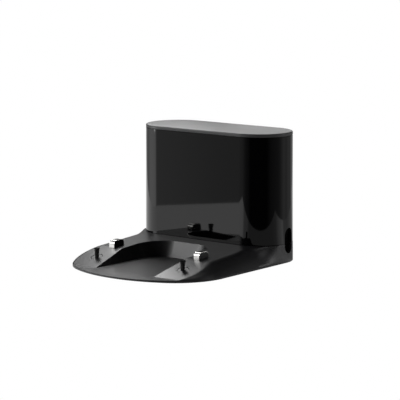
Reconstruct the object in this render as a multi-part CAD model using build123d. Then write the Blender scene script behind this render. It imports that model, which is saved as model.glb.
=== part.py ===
from build123d import *
import os
from math import cos, radians, sin, sqrt, tan

os.makedirs("parts", exist_ok=True)

# Charging dock of a robot vacuum: a flat base with a ramp, and an oval tower at its back.
# X runs to the right, Y to the back and Z up. The origin is on the floor,
# below the middle of the dock, and every size is in millimetres.

# Overall sizes, measured at the floor
WIDTH = 131.4
DEPTH = 154.0
HEIGHT = 99.8
TOWER_DEPTH = 52.6
DRAFT = 0.42  # degrees that the tower's walls lean in
FOOT_PROUD = 0.6  # rubber feet below the edge of the base

# Outline of the base, seen from above
FRONT_RADIUS = 93.6
CORNER_RADIUS = 43.0

# Heights of the base's upper side
JUNCTION_Z = 15.1  # where the tower stands on the base
CREST_Z = 11.8  # where the ramp meets the level part
LIP_Z = 2.1
CREST_SETBACK = 50.0  # front edge to the top of the ramp
RAMP_FOOT_SETBACK = 16.0  # front edge to the foot of the ramp
FLANK_WIDTH = 14.0  # soft slope beside the level part
FLANK_END = 0.3  # what is left of that slope beside the tower
FLARE_START = 8.0  # the slope steepens over this length in front of the tower's front
FLARE_END = 19.0  # and past the tower's front
RAMP_START = 0.2  # the ramp's first cross-section lies this far behind its foot

# Bay that takes the robot's front caster
BAY_HALF = 28.0
BAY_GAP = 17.4  # level part left between the bay and the tower
BAY_CORNER = 18.0
BAY_FLOOR_Z = 2.4
BAY_LEAN = 21.0  # degrees that its walls open upwards

# Mouldings
BASE_WALL = 2.0
SHELL_WALL = 2.2
COVER_THICKNESS = 1.8
COVER_RIM = 7.5  # solid edge of the base around the bottom cover
COVER_SETBACK = 28.0  # front edge to the front of the bottom cover
COVER_GAP = 0.2
DECK_LEDGE = 3.0  # ledge of the base under the tower's wall
JOINT_GAP = 0.25
CAP_RIM = 2.5
CAP_GAP = 0.35
CAP_ROUND = 0.8
CAP_SKIRT = 4.0
SKIRT_WALL = 1.4
FIT_GAP = 0.15
TONGUE_DEPTH = 3.0

# Charging contacts
CONTACT_X = 41.2
CONTACT_SETBACK = 54.8  # behind the front edge
CONTACT_WIDTH = 4.9
CONTACT_LENGTH = 11.5
CONTACT_TOP = 17.6
CONTACT_ROUND = 4.0
STRIP_THICKNESS = 0.4
TRAVEL = 2.4
STOP_GAP = 0.1  # left below the flange when the contact is pressed home
SLOT_GAP = 0.35
FLANGE_REACH = 0.8
FLANGE_TOP = 8.5
GUIDE_WALL = 1.4
GUIDE_BOTTOM = 4.2
GUIDE_GAP = 0.1  # around the flange
TERMINAL_THICKNESS = 0.4
TERMINAL_WIDTH = 4.0
TAB_LENGTH = 3.2
SPRING_DIAMETER = 3.2
SPRING_WIRE = 0.4
SPRING_PITCH = 1.6
SPRING_BORE = 3.7
SPRING_SEAT_GAP = 0.02

# Brushes in front of the contacts
BRUSH_X = 41.65
BRUSH_SETBACK = 32.6  # behind the front edge
BRUSH_TOP = 13.75
BRUSH_FOOT_RADIUS = 1.45
BRUSH_WAIST_RADIUS = 1.7
BRUSH_TIP_RADIUS = 2.4
BRUSH_ROOT_Z = 3.4
HOLDER_RADIUS = 4.1
HOLDER_GAP = 0.1
HOLDER_SUNK = 0.3
HOLDER_BOTTOM = 2.6
HOLDER_BOSS = 1.4

# Cable compartment at the tower's back
OUTLET_HEIGHT = 19.5
OUTLET_WIDTH = 11.0
OUTLET_Z = 17.35
OUTLET_SHIFT = 3.6  # behind the tower's middle
COMPARTMENT_WALL = 1.6
COMPARTMENT_BOTTOM = 5.4
COMPARTMENT_TOP = 29.4
COMPARTMENT_FRONT = 6.5  # in front of the tower's middle
CHANNEL_BACK = 13.0  # behind the tower's middle
CHANNEL_GAP = 0.3
MOUTH_HALF = 33.0
WINDOW_HALF = 37.0
WINDOW_DROP = 13.8  # below the tower's top
PANEL_GAP = 0.2
PANEL_THICKNESS = 2.2
PANEL_SUNK = 0.8

# Power inlet and supply
INLET_WIDTH = 21.0
INLET_HEIGHT = 12.4
INLET_DEPTH = 13.0
INLET_Z = 19.6
INLET_ROUND = 2.0
INLET_SEAT = 2.0  # rim of the compartment's wall that the inlet stands against
SOCKET_DEPTH = 11.0
SOCKET_LOBE = 4.1
SOCKET_WAIST = 6.6
PIN_SPACING = 8.6
PIN_RADIUS = 1.2
PIN_SUNK = 2.0
TAG_THICKNESS = 0.8
TAG_HEIGHT = 7.0
TAG_GAP = 0.8
BOARD_WIDTH = 100.0
BOARD_BOTTOM = 36.0
BOARD_DROP = 15.8  # upper edge below the tower's top
BOARD_THICKNESS = 1.6
BOARD_FACE = 4.4  # behind the tower's middle
PILLAR_RADIUS = 3.2
PILLAR_X = 24.0
PILLAR_INSET = 5.0  # from the board's lower and upper edge
HEADER_X = 34.0
HEADER_RISE = 1.0  # above the board's lower edge
HEADER_WIDTH = 8.0
HEADER_HEIGHT = 5.0
HEADER_REACH = 5.0
INPUT_X = 45.0

# Parts that stand on the board. Each rise is measured from the board's lower edge.
TRANSFORMER_X = 2.0
TRANSFORMER_RISE = 18.0
BOBBIN_WIDTH = 18.0
BOBBIN_HEIGHT = 22.0
BOBBIN_DEPTH = 17.0
BOBBIN_FLANGE = 1.6
WINDING_WIDTH = 12.0
WINDING_HEIGHT = 15.0
CORE_WIDTH = 24.0
CORE_HEIGHT = 20.0
CORE_GAP = 0.1
MAINS_CAN_X = -18.0
MAINS_CAN_RISE = 16.0
MAINS_CAN_RADIUS = 6.3
MAINS_CAN_LENGTH = 22.0
OUTPUT_CAN_X = 38.0
OUTPUT_CAN_RISES = (12.0, 23.0)
OUTPUT_CAN_RADIUS = 4.0
OUTPUT_CAN_LENGTH = 14.0
CAN_ROUND = 0.6
FUSE_X = -29.0
FUSE_RISE = 14.5
FUSE_RADIUS = 2.6
FUSE_LENGTH = 13.0
FUSE_REACH = 4.4
CLIP_SPACING = 10.0
CLIP_WIDTH = 4.8
CLIP_LENGTH = 2.4
CHOKE_X = -37.0
CHOKE_RISE = 16.5
CHOKE_REACH = 9.4
CHOKE_RADIUS = 6.0
CHOKE_WINDING = 3.0
CHOKE_FOOT = 8.0
CHOKE_FOOT_DEPTH = 6.0
HEAT_SINK_X = 24.0
HEAT_SINK_RISE = 12.0
HEAT_SINK_DROP = 8.0  # below the board's upper edge
HEAT_SINK_DEPTH = 20.0
HEAT_SINK_FOOT = 7.0
HEAT_SINK_THICKNESS = 2.0
TRANSISTOR_RISE = 16.0
TRANSISTOR_HEIGHT = 10.0
TRANSISTOR_WIDTH = 4.4
TRANSISTOR_START = 3.0  # in front of the board
TRANSISTOR_END = 18.0

# Beacon that guides the robot home
BEACON_WIDTH = 60.0
BEACON_DEPTH = 18.0
BEACON_THICKNESS = 1.6
BEACON_DROP = 8.7  # board's top below the cap
BEACON_SHIFT = 11.0  # in front of the tower's middle
EMITTER_SPACING = 20.0
EMITTER_RADIUS = 2.5
EMITTER_LENGTH = 7.0
EMITTER_SUNK = 1.5
EMITTER_ROUND = 2.0
SHADE_WIDTH = 52.0
SHADE_HEIGHT = 7.4
SHADE_DEPTH = 7.0
BEACON_PILLAR_X = 24.0
BEACON_PILLAR_SHIFT = 4.0  # behind the board's middle

# Weight, screws, feet and leads
COVER_SCREW_INSET = 18.7  # from the base's side
FRONT_SCREW_SETBACK = 40.5  # behind the front edge
REAR_SCREW_GAP = 22.4  # in front of the tower
LEG_SCREW_X = 24.0
LEG_SCREW_SHIFT = 4.0  # behind the tower's middle
FRONT_FOOT_INSET = 21.7  # from the base's side
FRONT_FOOT_SETBACK = 22.0
MIDDLE_FOOT_INSET = 28.7
MIDDLE_FOOT_GAP = 28.4  # in front of the tower
TOWER_FOOT_INSET = 21.7
WEIGHT_WIDTH = 56.0
WEIGHT_DEPTH = 9.0
WEIGHT_HEIGHT = 9.0
WEIGHT_SHIFT = 17.0  # in front of the tower's middle
WEIGHT_CHAMFER = 1.5
SCREW_RADIUS = 1.2
SCREW_HEAD_RADIUS = 2.3
SCREW_HEAD_HEIGHT = 1.1
SCREW_HEAD_SUNK = 0.1
SCREW_GRIP = 3.6  # length of hole in the boss
SHELL_SCREW_GRIP = 9.0
SHELL_SCREW_ANGLES = (-50.0, 62.0)  # degrees from the tower's long axis
LEG_SCREW_GRIP = 3.0
TIP_GAP = 0.2
SNUG_FIT = 0.03
BOSS_ROOT = 0.6  # how far a boss in the tower's ends runs into the wall
BOSS_RADIUS = 3.2
HOLE_GAP = 0.25
FOOT_THICKNESS = 1.6
FOOT_RADIUS = 4.0
FOOT_GAP = 0.1
LEAD_RADIUS = 0.7
LEAD_BEND = 0.45  # share of the shorter run that a corner's arc takes

# Places worked out from the sizes above
FRONT_Y = -DEPTH / 2
TOWER_Y = DEPTH / 2 - TOWER_DEPTH / 2
TOWER_FRONT = TOWER_Y - TOWER_DEPTH / 2
CREST_Y = FRONT_Y + CREST_SETBACK
RAMP_FOOT_Y = FRONT_Y + RAMP_FOOT_SETBACK
BASE_BOTTOM = FOOT_PROUD
COVER_TOP = BASE_BOTTOM + COVER_THICKNESS
SHELL_BOTTOM = JUNCTION_Z + JOINT_GAP
CAP_BOTTOM = HEIGHT - CAP_RIM
SHELL_TOP = CAP_BOTTOM - CAP_GAP
RAMP_SLOPE = (CREST_Z - LIP_Z) / (CREST_SETBACK - RAMP_FOOT_SETBACK)
ARC_Y = FRONT_Y + FRONT_RADIUS
CORNER_X = WIDTH / 2 - CORNER_RADIUS
CORNER_Y = ARC_Y - sqrt((FRONT_RADIUS - CORNER_RADIUS) ** 2 - CORNER_X**2)
BOARD_FRONT_Y = TOWER_Y + BOARD_FACE
BOARD_BACK_Y = BOARD_FRONT_Y + BOARD_THICKNESS
PANEL_FACE_Y = DEPTH / 2 - PANEL_SUNK
STRIP_UNDERSIDE = CONTACT_TOP - STRIP_THICKNESS
SPRING_SEAT_Z = GUIDE_BOTTOM + TERMINAL_THICKNESS
FLANGE_BOTTOM = SPRING_SEAT_Z + STOP_GAP + TRAVEL
CONTACT_Y = FRONT_Y + CONTACT_SETBACK
BRUSH_Y = FRONT_Y + BRUSH_SETBACK
WINDOW_TOP = HEIGHT - WINDOW_DROP
BOARD_TOP = HEIGHT - BOARD_DROP
HEADER_Z = BOARD_BOTTOM + HEADER_RISE
HEADER_MIDDLE = HEADER_Z + HEADER_HEIGHT / 2
HEADER_FACE_Y = BOARD_FRONT_Y - HEADER_REACH
TRANSFORMER_Z = BOARD_BOTTOM + TRANSFORMER_RISE
FUSE_Z = BOARD_BOTTOM + FUSE_RISE
CHOKE_Z = BOARD_BOTTOM + CHOKE_RISE
TRANSISTOR_BOTTOM = BOARD_BOTTOM + TRANSISTOR_RISE
BEACON_TOP = CAP_BOTTOM - BEACON_DROP
COVER_SCREWS = [
    (side * (WIDTH / 2 - COVER_SCREW_INSET), y)
    for side in (-1, 1)
    for y in (FRONT_Y + FRONT_SCREW_SETBACK, TOWER_FRONT - REAR_SCREW_GAP)
]
BASE_FEET = [(side * (WIDTH / 2 - FRONT_FOOT_INSET), FRONT_Y + FRONT_FOOT_SETBACK) for side in (-1, 1)]
MIDDLE_FEET = [(side * (WIDTH / 2 - MIDDLE_FOOT_INSET), TOWER_FRONT - MIDDLE_FOOT_GAP) for side in (-1, 1)]
TOWER_FEET = [(side * (WIDTH / 2 - TOWER_FOOT_INSET), TOWER_Y) for side in (-1, 1)]
COVER_FEET = MIDDLE_FEET + TOWER_FEET
LEG_SCREWS = [(side * LEG_SCREW_X, TOWER_Y + LEG_SCREW_SHIFT) for side in (-1, 1)]


def save(node, solids):
    """Write one piece, or a group of separate like pieces, as its own file."""
    solids = solids if isinstance(solids, list) else [solids]
    bodies = [body for solid in solids for body in solid.solids()]
    shape = bodies[0] if len(bodies) == 1 else Compound(children=bodies)
    export_step(shape, f"parts/{node}.step")


def block(x_range, y_range, z_range):
    """Box between two corners."""
    size = [high - low for low, high in (x_range, y_range, z_range)]
    centre = [(high + low) / 2 for low, high in (x_range, y_range, z_range)]
    return Pos(*centre) * Box(*size)


def rod(x, y, z_range, radius):
    """Upright round bar."""
    low, high = z_range
    return Pos(x, y, (low + high) / 2) * Cylinder(radius, high - low)


def rod_along_y(x, y_range, z, radius):
    """Round bar that points to the back."""
    low, high = y_range
    return Pos(x, (low + high) / 2, z) * Rot(90, 0, 0) * Cylinder(radius, high - low)


# Shapes that several pieces share


def tower_block(inset, bottom, top):
    """Oval tower, inset from its outer skin, leaning in with the draft."""
    narrowing = inset + bottom * tan(radians(DRAFT))
    plan = SlotOverall(WIDTH - 2 * narrowing, TOWER_DEPTH - 2 * narrowing)
    return extrude(Pos(0, TOWER_Y, bottom) * plan, top - bottom, taper=DRAFT)


def plate_plan(inset, front_limit=FRONT_Y):
    """Outline of the base in front of the tower's middle, inset from its edge."""
    half = WIDTH / 2 - inset
    corner = CORNER_RADIUS - inset
    front = FRONT_RADIUS - inset
    reach = FRONT_RADIUS - CORNER_RADIUS
    lean = (CORNER_X / reach, (CORNER_Y - ARC_Y) / reach)
    tangent = (lean[0] * front, ARC_Y + lean[1] * front)
    middle = (0, ARC_Y - front)
    corner_middle = Vector(1 + lean[0], lean[1]).normalized() * corner
    shoulder = (CORNER_X + corner_middle.X, CORNER_Y + corner_middle.Y)
    right = [
        Line((half, TOWER_Y), (half, CORNER_Y)),
        ThreePointArc((half, CORNER_Y), shoulder, tangent),
    ]
    left = [mirror(edge, Plane.YZ) for edge in right]
    arc = ThreePointArc(tangent, middle, (-tangent[0], tangent[1]))
    back = Line((-half, TOWER_Y), (half, TOWER_Y))
    plan = make_face(Curve() + right + [arc] + left + [back])
    clip_depth = TOWER_Y - front_limit
    clip = Pos(0, front_limit + clip_depth / 2) * Rectangle(2 * WIDTH, clip_depth)
    return plan & clip


def outline_half(y):
    """Half width of the base's outline at y."""
    if y >= CORNER_Y:
        return WIDTH / 2
    corner_front = ARC_Y + (CORNER_Y - ARC_Y) * FRONT_RADIUS / (FRONT_RADIUS - CORNER_RADIUS)
    if y >= corner_front:
        return CORNER_X + sqrt(CORNER_RADIUS**2 - (CORNER_Y - y) ** 2)
    return sqrt(FRONT_RADIUS**2 - (ARC_Y - y) ** 2)


def crown(y):
    """Height of the base along its middle: ramp, then the level part up to the tower."""
    if y <= CREST_Y:
        return LIP_Z + RAMP_SLOPE * (y - RAMP_FOOT_Y)
    rise = (JUNCTION_Z - CREST_Z) / (TOWER_FRONT - CREST_Y)
    return min(JUNCTION_Z, CREST_Z + rise * (y - CREST_Y))


def flank_width(y):
    """Width of the sloping flank at y, which narrows down the ramp and beside the tower."""
    if y <= CREST_Y:
        return FLANK_WIDTH * (crown(y) - LIP_Z) / (CREST_Z - LIP_Z)
    part = (y - TOWER_FRONT + FLARE_START) / (FLARE_START + FLARE_END)
    part = min(max(part, 0), 1)
    flare = part * part * (3 - 2 * part)
    return FLANK_WIDTH + (FLANK_END - FLANK_WIDTH) * flare


def plate_section(y, inset, bottom):
    """Cross-section of the base at y, inset from its skin and open to the height bottom."""
    half = outline_half(y) - inset
    foot = LIP_Z - inset
    top = crown(y) - inset
    width = flank_width(y)
    corners = [(-half, y, bottom), (half, y, bottom), (half, y, foot)]
    crest = (half - width, y, top)
    shoulder = (half - width / 2, y, top)
    mirrored = [(-x, y, z) for x, y, z in (crest, shoulder, corners[2])]
    return Face(
        Wire(
            [
                Line(corners[0], corners[1]),
                Line(corners[1], corners[2]),
                Bezier(corners[2], shoulder, crest),
                Line(crest, mirrored[0]),
                Bezier(mirrored[0], mirrored[1], mirrored[2]),
                Line(mirrored[2], corners[0]),
            ]
        )
    )


def plate_stations():
    """Places along Y where the base's cross-section is set."""
    first = RAMP_FOOT_Y + RAMP_START
    ramp_steps = 7
    ramp = [first + (CREST_Y - first) * step / ramp_steps for step in range(ramp_steps)]
    flare_from = TOWER_FRONT - FLARE_START
    flare_length = FLARE_START + FLARE_END
    flare_steps = 8
    flare = [flare_from + flare_length * step / flare_steps for step in range(flare_steps + 1)]
    return ramp + [CREST_Y] + flare + [TOWER_Y]


def plate_body(inset, bottom):
    """Base in front of the tower's middle, from the foot of the ramp."""
    return loft([plate_section(y, inset, bottom) for y in plate_stations()], ruled=True)


def bay_body(grow, bottom):
    """Bay for the caster, or the walls around it, from the given height to above the base."""
    half = BAY_HALF + grow
    back = TOWER_FRONT - BAY_GAP + grow
    front = FRONT_Y - BASE_WALL
    length = back - front
    plan = Pos(0, front + length / 2) * Rectangle(2 * half, length)
    plan = fillet(plan.vertices().group_by(Axis.Y)[-1], BAY_CORNER + grow)
    upper = extrude(Pos(0, 0, BAY_FLOOR_Z) * plan, JUNCTION_Z, taper=-BAY_LEAN)
    if bottom >= BAY_FLOOR_Z:
        return upper
    return upper + extrude(Pos(0, 0, bottom) * plan, BAY_FLOOR_Z - bottom)


def underside_plan(gap):
    """Outline of the bottom cover, less a gap, without its notch for the bay."""
    plate = plate_plan(COVER_RIM + gap, FRONT_Y + COVER_SETBACK + gap)
    narrowing = 2 * (BASE_WALL + gap)
    tower = Pos(0, TOWER_Y) * SlotOverall(WIDTH - narrowing, TOWER_DEPTH - narrowing)
    return plate + tower


def outlet_bar(grow):
    """Straight bar with the outline of the cable outlets, through both ends of the tower."""
    outline = SlotOverall(OUTLET_HEIGHT + 2 * grow, OUTLET_WIDTH + 2 * grow)
    place = Plane((0, TOWER_Y + OUTLET_SHIFT, OUTLET_Z), x_dir=(0, 0, 1), z_dir=(1, 0, 0))
    return extrude(place * outline, WIDTH, both=True)


def rear_window(gap, depth):
    """Opening in the tower's flat back, or the panel that closes it."""
    sides = (-WINDOW_HALF + gap, WINDOW_HALF - gap)
    heights = (COMPARTMENT_BOTTOM + gap, WINDOW_TOP - gap)
    return block(sides, depth, heights)


def on_both_sides(make_piece):
    """Left and right copy of a piece, made by a function of the side's sign."""
    return {"left": make_piece(-1), "right": make_piece(1)}


def contact_profile(inset, bottom):
    """Side outline of a contact, rounded at the top, extruded across its width."""
    length = CONTACT_LENGTH - 2 * inset
    top = CONTACT_TOP - inset
    outline = Pos(0, (top + bottom) / 2) * Rectangle(length, top - bottom)
    outline = fillet(outline.vertices().group_by(Axis.Y)[-1], CONTACT_ROUND - inset)
    return extrude(Plane.YZ * outline, CONTACT_WIDTH / 2, both=True)


# Where the long shell screws reach the bosses inside the tower's ends


def shell_boss_places():
    """Boss centres: each overlaps the tower's wall a little, so that it grows out of it."""
    inner = TOWER_DEPTH / 2 - SHELL_WALL
    reach = inner - BOSS_RADIUS + BOSS_ROOT
    middle_x = (WIDTH - TOWER_DEPTH) / 2
    places = []
    for angle in SHELL_SCREW_ANGLES:
        x = middle_x + reach * cos(radians(angle))
        y = TOWER_Y + reach * sin(radians(angle))
        places += [(-x, y), (x, y)]
    return places


SHELL_SCREWS = shell_boss_places()


# Base moulding: ramp, level part, bay walls, contact guides and the tower's foot in one piece


def make_base():
    outer = plate_body(0, BASE_BOTTOM) + tower_block(0, BASE_BOTTOM, JUNCTION_Z)
    outer += extrude(Pos(0, 0, BASE_BOTTOM) * plate_plan(0), LIP_Z - BASE_BOTTOM)

    depth = JUNCTION_Z - BASE_BOTTOM
    pocket = extrude(Pos(0, 0, BASE_BOTTOM) * underside_plan(0), depth)
    roof = plate_body(BASE_WALL, -depth)
    roof += tower_block(BASE_WALL, -depth, JUNCTION_Z - BASE_WALL)
    lower = extrude(Pos(0, 0, BASE_BOTTOM) * underside_plan(0), COVER_THICKNESS)
    cavity = pocket & roof
    cavity += lower
    cavity -= bay_body(BASE_WALL, BASE_BOTTOM)
    for side in (-1, 1):
        cavity -= guide_block(side)
        cavity -= rod(side * BRUSH_X, BRUSH_Y, (COVER_TOP, JUNCTION_Z), HOLDER_RADIUS + HOLDER_BOSS)
    for x, y in COVER_SCREWS:
        cavity -= rod(x, y, (COVER_TOP, JUNCTION_Z), BOSS_RADIUS)

    base = outer - cavity - bay_body(0, BAY_FLOOR_Z)
    base -= tower_block(BASE_WALL + DECK_LEDGE, JUNCTION_Z - 2 * BASE_WALL, JUNCTION_Z + 1)
    for x, y in SHELL_SCREWS:
        base -= rod(x, y, (COVER_TOP, JUNCTION_Z + 1), BOSS_RADIUS + HOLE_GAP)
    base -= tower_block(BASE_WALL, JUNCTION_Z - TONGUE_DEPTH, JUNCTION_Z + 1) - tongue_keep()
    for side in (-1, 1):
        base -= contact_opening(side)
        base -= rod(side * BRUSH_X, BRUSH_Y, (0, JUNCTION_Z), HOLDER_RADIUS + HOLDER_GAP)
    for x, y in COVER_SCREWS:
        base -= rod(x, y, (0, COVER_TOP + SCREW_GRIP), SCREW_RADIUS + SNUG_FIT)
    for x, y in BASE_FEET:
        base -= rod(x, y, (0, FOOT_THICKNESS), FOOT_RADIUS + FOOT_GAP)
    base -= outlet_bar(0)
    base -= rear_window(0, (TOWER_Y, DEPTH))
    return base.solids().sort_by(SortBy.VOLUME)[-1]


def tongue_keep():
    """Part of the deck that stays in front, where the shell stands on the level part."""
    return block((-WIDTH, WIDTH), (TOWER_FRONT, TOWER_FRONT + BASE_WALL + DECK_LEDGE), (0, HEIGHT))


def guide_block(side):
    """Sleeve under a contact, before it is hollowed."""
    half_x = CONTACT_WIDTH / 2 + SLOT_GAP + GUIDE_WALL
    half_y = guide_half_length() + GUIDE_WALL
    x, y = side * CONTACT_X, CONTACT_Y
    return block((x - half_x, x + half_x), (y - half_y, y + half_y), (GUIDE_BOTTOM, JUNCTION_Z))


def guide_half_length():
    """Half the inner length of a contact's sleeve."""
    return CONTACT_LENGTH / 2 + FLANGE_REACH + GUIDE_GAP


def contact_opening(side):
    """Slot through the deck and the chamber below it, with a notch for the terminal's tab."""
    half_x = CONTACT_WIDTH / 2 + SLOT_GAP
    slot_half_y = CONTACT_LENGTH / 2 + SLOT_GAP
    half_y = guide_half_length()
    x, y = side * CONTACT_X, CONTACT_Y
    across = (x - half_x, x + half_x)
    slot = block(across, (y - slot_half_y, y + slot_half_y), (GUIDE_BOTTOM, HEIGHT))
    chamber = block(across, (y - half_y, y + half_y), (0, FLANGE_TOP + GUIDE_GAP / 2))
    tab_half = TERMINAL_WIDTH / 2 + GUIDE_GAP
    tab_top = SPRING_SEAT_Z + GUIDE_GAP
    notch = block((x - tab_half, x + tab_half), (y, y + half_y + GUIDE_WALL + 1), (0, tab_top))
    return slot + chamber + notch


# Bottom cover: flat plate with countersunk holes and pockets for the feet


def make_bottom_cover():
    plan = underside_plan(COVER_GAP)
    cover = extrude(Pos(0, 0, BASE_BOTTOM) * plan, COVER_THICKNESS)
    cover -= bay_body(BASE_WALL + COVER_GAP, 0)
    for x, y in COVER_SCREWS + SHELL_SCREWS + LEG_SCREWS:
        cover -= rod(x, y, (0, HEIGHT), SCREW_RADIUS + HOLE_GAP)
        cover -= rod(x, y, (0, BASE_BOTTOM + SCREW_HEAD_HEIGHT), SCREW_HEAD_RADIUS + HOLE_GAP)
    for x, y in COVER_FEET:
        cover -= rod(x, y, (0, FOOT_THICKNESS), FOOT_RADIUS + FOOT_GAP)
    return cover


# Tower shell: one glossy wall all round, with bosses inside for the screws from below


def make_tower_shell():
    shell = tower_block(0, SHELL_BOTTOM, SHELL_TOP) - tower_block(SHELL_WALL, 0, HEIGHT)
    tongue_bottom = JUNCTION_Z - TONGUE_DEPTH + JOINT_GAP
    tongue = tower_block(BASE_WALL + FIT_GAP, tongue_bottom, SHELL_BOTTOM + 1)
    tongue -= tower_block(BASE_WALL + FIT_GAP + SKIRT_WALL, 0, HEIGHT)
    front = TOWER_FRONT + BASE_WALL + DECK_LEDGE + FIT_GAP
    shell += tongue & block((-WIDTH, WIDTH), (front, DEPTH), (0, HEIGHT))
    inside = tower_block(SHELL_WALL / 2, 0, HEIGHT)
    for x, y in SHELL_SCREWS:
        shell += rod(x, y, (COVER_TOP, COMPARTMENT_TOP), BOSS_RADIUS) & inside
        shell -= rod(x, y, (0, COVER_TOP + SHELL_SCREW_GRIP), SCREW_RADIUS + SNUG_FIT)
    shell -= outlet_bar(0)
    shell -= rear_window(0, (TOWER_Y, DEPTH))
    return shell.solids().sort_by(SortBy.VOLUME)[-1]


# Top cap: matte lid with a skirt inside the shell and two pillars for the beacon board


def make_top_cap():
    cap = tower_block(0, CAP_BOTTOM, HEIGHT)
    cap = fillet(cap.edges().group_by(Axis.Z)[-1], CAP_ROUND)
    skirt_inset = SHELL_WALL + FIT_GAP
    skirt = tower_block(skirt_inset, CAP_BOTTOM - CAP_SKIRT, CAP_BOTTOM)
    skirt -= tower_block(skirt_inset + SKIRT_WALL, 0, HEIGHT)
    cap += skirt
    for x, y in beacon_screws():
        cap += rod(x, y, (BEACON_TOP, CAP_BOTTOM), BOSS_RADIUS)
        cap -= rod(x, y, (BEACON_TOP, BEACON_TOP + SCREW_GRIP), SCREW_RADIUS + SNUG_FIT)
    return cap


def beacon_screws():
    """Places of the screws that hold the beacon board."""
    return [(side * BEACON_PILLAR_X, beacon_y() + BEACON_PILLAR_SHIFT) for side in (-1, 1)]


# Rear housing: back panel and cable compartment in one moulding, with the board's pillars


def compartment(inset):
    """Cable compartment: a channel to both outlets and a mouth to the back."""
    front = TOWER_Y - COMPARTMENT_FRONT + inset
    heights = (COMPARTMENT_BOTTOM + inset, COMPARTMENT_TOP - inset)
    channel_back = TOWER_Y + CHANNEL_BACK - inset
    channel = block((-WIDTH / 2, WIDTH / 2), (front, channel_back), heights)
    channel &= tower_block(BASE_WALL + FIT_GAP + SKIRT_WALL + CHANNEL_GAP, 0, HEIGHT)
    half = MOUTH_HALF - inset
    back = PANEL_FACE_Y if inset == 0 else DEPTH
    return channel + block((-half, half), (front, back), heights)


def pillar_places():
    """Centres of the board's pillars, as x and z."""
    rows = (BOARD_BOTTOM + PILLAR_INSET, BOARD_TOP - PILLAR_INSET)
    return [(side * PILLAR_X, z) for side in (-1, 1) for z in rows]


def make_rear_housing():
    panel_depth = (PANEL_FACE_Y - PANEL_THICKNESS, PANEL_FACE_Y)
    housing = rear_window(PANEL_GAP, panel_depth) + compartment(0)
    for x, z in pillar_places():
        housing += rod_along_y(x, (BOARD_BACK_Y, PANEL_FACE_Y - PANEL_THICKNESS / 2), z, PILLAR_RADIUS)
    for x, y in LEG_SCREWS:
        housing += rod(x, y, (COVER_TOP, COMPARTMENT_BOTTOM + COMPARTMENT_WALL), BOSS_RADIUS)
    housing -= compartment(COMPARTMENT_WALL)
    housing -= outlet_bar(0)
    for x, y in LEG_SCREWS:
        housing -= rod(x, y, (0, COVER_TOP + LEG_SCREW_GRIP), SCREW_RADIUS + SNUG_FIT)
    for x, z in pillar_places():
        grip = (BOARD_BACK_Y - 1, BOARD_BACK_Y + SCREW_GRIP)
        housing -= rod_along_y(x, grip, z, SCREW_RADIUS + SNUG_FIT)
    front = TOWER_Y - COMPARTMENT_FRONT
    sides = (-INLET_WIDTH / 2 + INLET_SEAT, INLET_WIDTH / 2 - INLET_SEAT)
    half_height = INLET_HEIGHT / 2 - INLET_SEAT
    heights = (INLET_Z - half_height, INLET_Z + half_height)
    housing -= block(sides, (front - 1, front + COMPARTMENT_WALL + 1), heights)
    return housing


# Power inlet: two-pole socket behind the compartment's front wall


def socket_outline():
    """Figure-eight outline of the socket."""
    spread = PIN_SPACING / 2
    both = [Pos(side * spread, 0) * Circle(SOCKET_LOBE) for side in (-1, 1)]
    return both[0] + both[1] + Rectangle(PIN_SPACING, SOCKET_WAIST)


def inlet_place():
    """Plane of the inlet's face, looking to the front."""
    face_y = TOWER_Y - COMPARTMENT_FRONT
    return Plane((0, face_y, INLET_Z), x_dir=(1, 0, 0), z_dir=(0, -1, 0))


def make_inlet_housing():
    face_y = TOWER_Y - COMPARTMENT_FRONT
    half = INLET_WIDTH / 2
    heights = (INLET_Z - INLET_HEIGHT / 2, INLET_Z + INLET_HEIGHT / 2)
    housing = block((-half, half), (face_y - INLET_DEPTH, face_y), heights)
    housing = fillet(housing.edges().filter_by(Axis.Y), INLET_ROUND)
    housing -= extrude(inlet_place() * socket_outline(), SOCKET_DEPTH)
    for side in (-1, 1):
        back = (face_y - INLET_DEPTH - 1, face_y)
        housing -= rod_along_y(side * PIN_SPACING / 2, back, INLET_Z, PIN_RADIUS)
    return housing


def tag_y():
    """Middle of the pins' solder tags, behind the inlet."""
    return TOWER_Y - COMPARTMENT_FRONT - INLET_DEPTH - TAG_GAP - TAG_THICKNESS / 2


def make_inlet_pins():
    """Round pins, each with a flat tag that points up to its lead."""
    face_y = TOWER_Y - COMPARTMENT_FRONT
    tag_depth = (tag_y() - TAG_THICKNESS / 2, tag_y() + TAG_THICKNESS / 2)
    pins = []
    for side in (-1, 1):
        x = side * PIN_SPACING / 2
        pin = rod_along_y(x, (tag_depth[0], face_y - PIN_SUNK), INLET_Z, PIN_RADIUS)
        pin = fillet(pin.edges().sort_by(Axis.Y)[-1], PIN_RADIUS / 2)
        tag = block((x - PIN_RADIUS, x + PIN_RADIUS), tag_depth, (INLET_Z, INLET_Z + TAG_HEIGHT))
        pins.append(pin + tag)
    return pins


# Power supply: an upright board with the parts of a small mains supply on its front


def on_board(x_range, z_range, reach):
    """Box that stands on the board's front face."""
    return block(x_range, (BOARD_FRONT_Y - reach, BOARD_FRONT_Y), z_range)


def make_power_board():
    half = BOARD_WIDTH / 2
    depth = (BOARD_FRONT_Y, BOARD_BACK_Y)
    board = block((-half, half), depth, (BOARD_BOTTOM, BOARD_TOP))
    for x, z in pillar_places():
        board -= rod_along_y(x, (BOARD_FRONT_Y - 1, BOARD_BACK_Y + 1), z, SCREW_RADIUS + HOLE_GAP)
    return board


def around(middle, size):
    """Range of the given size around a middle."""
    return (middle - size / 2, middle + size / 2)


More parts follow.
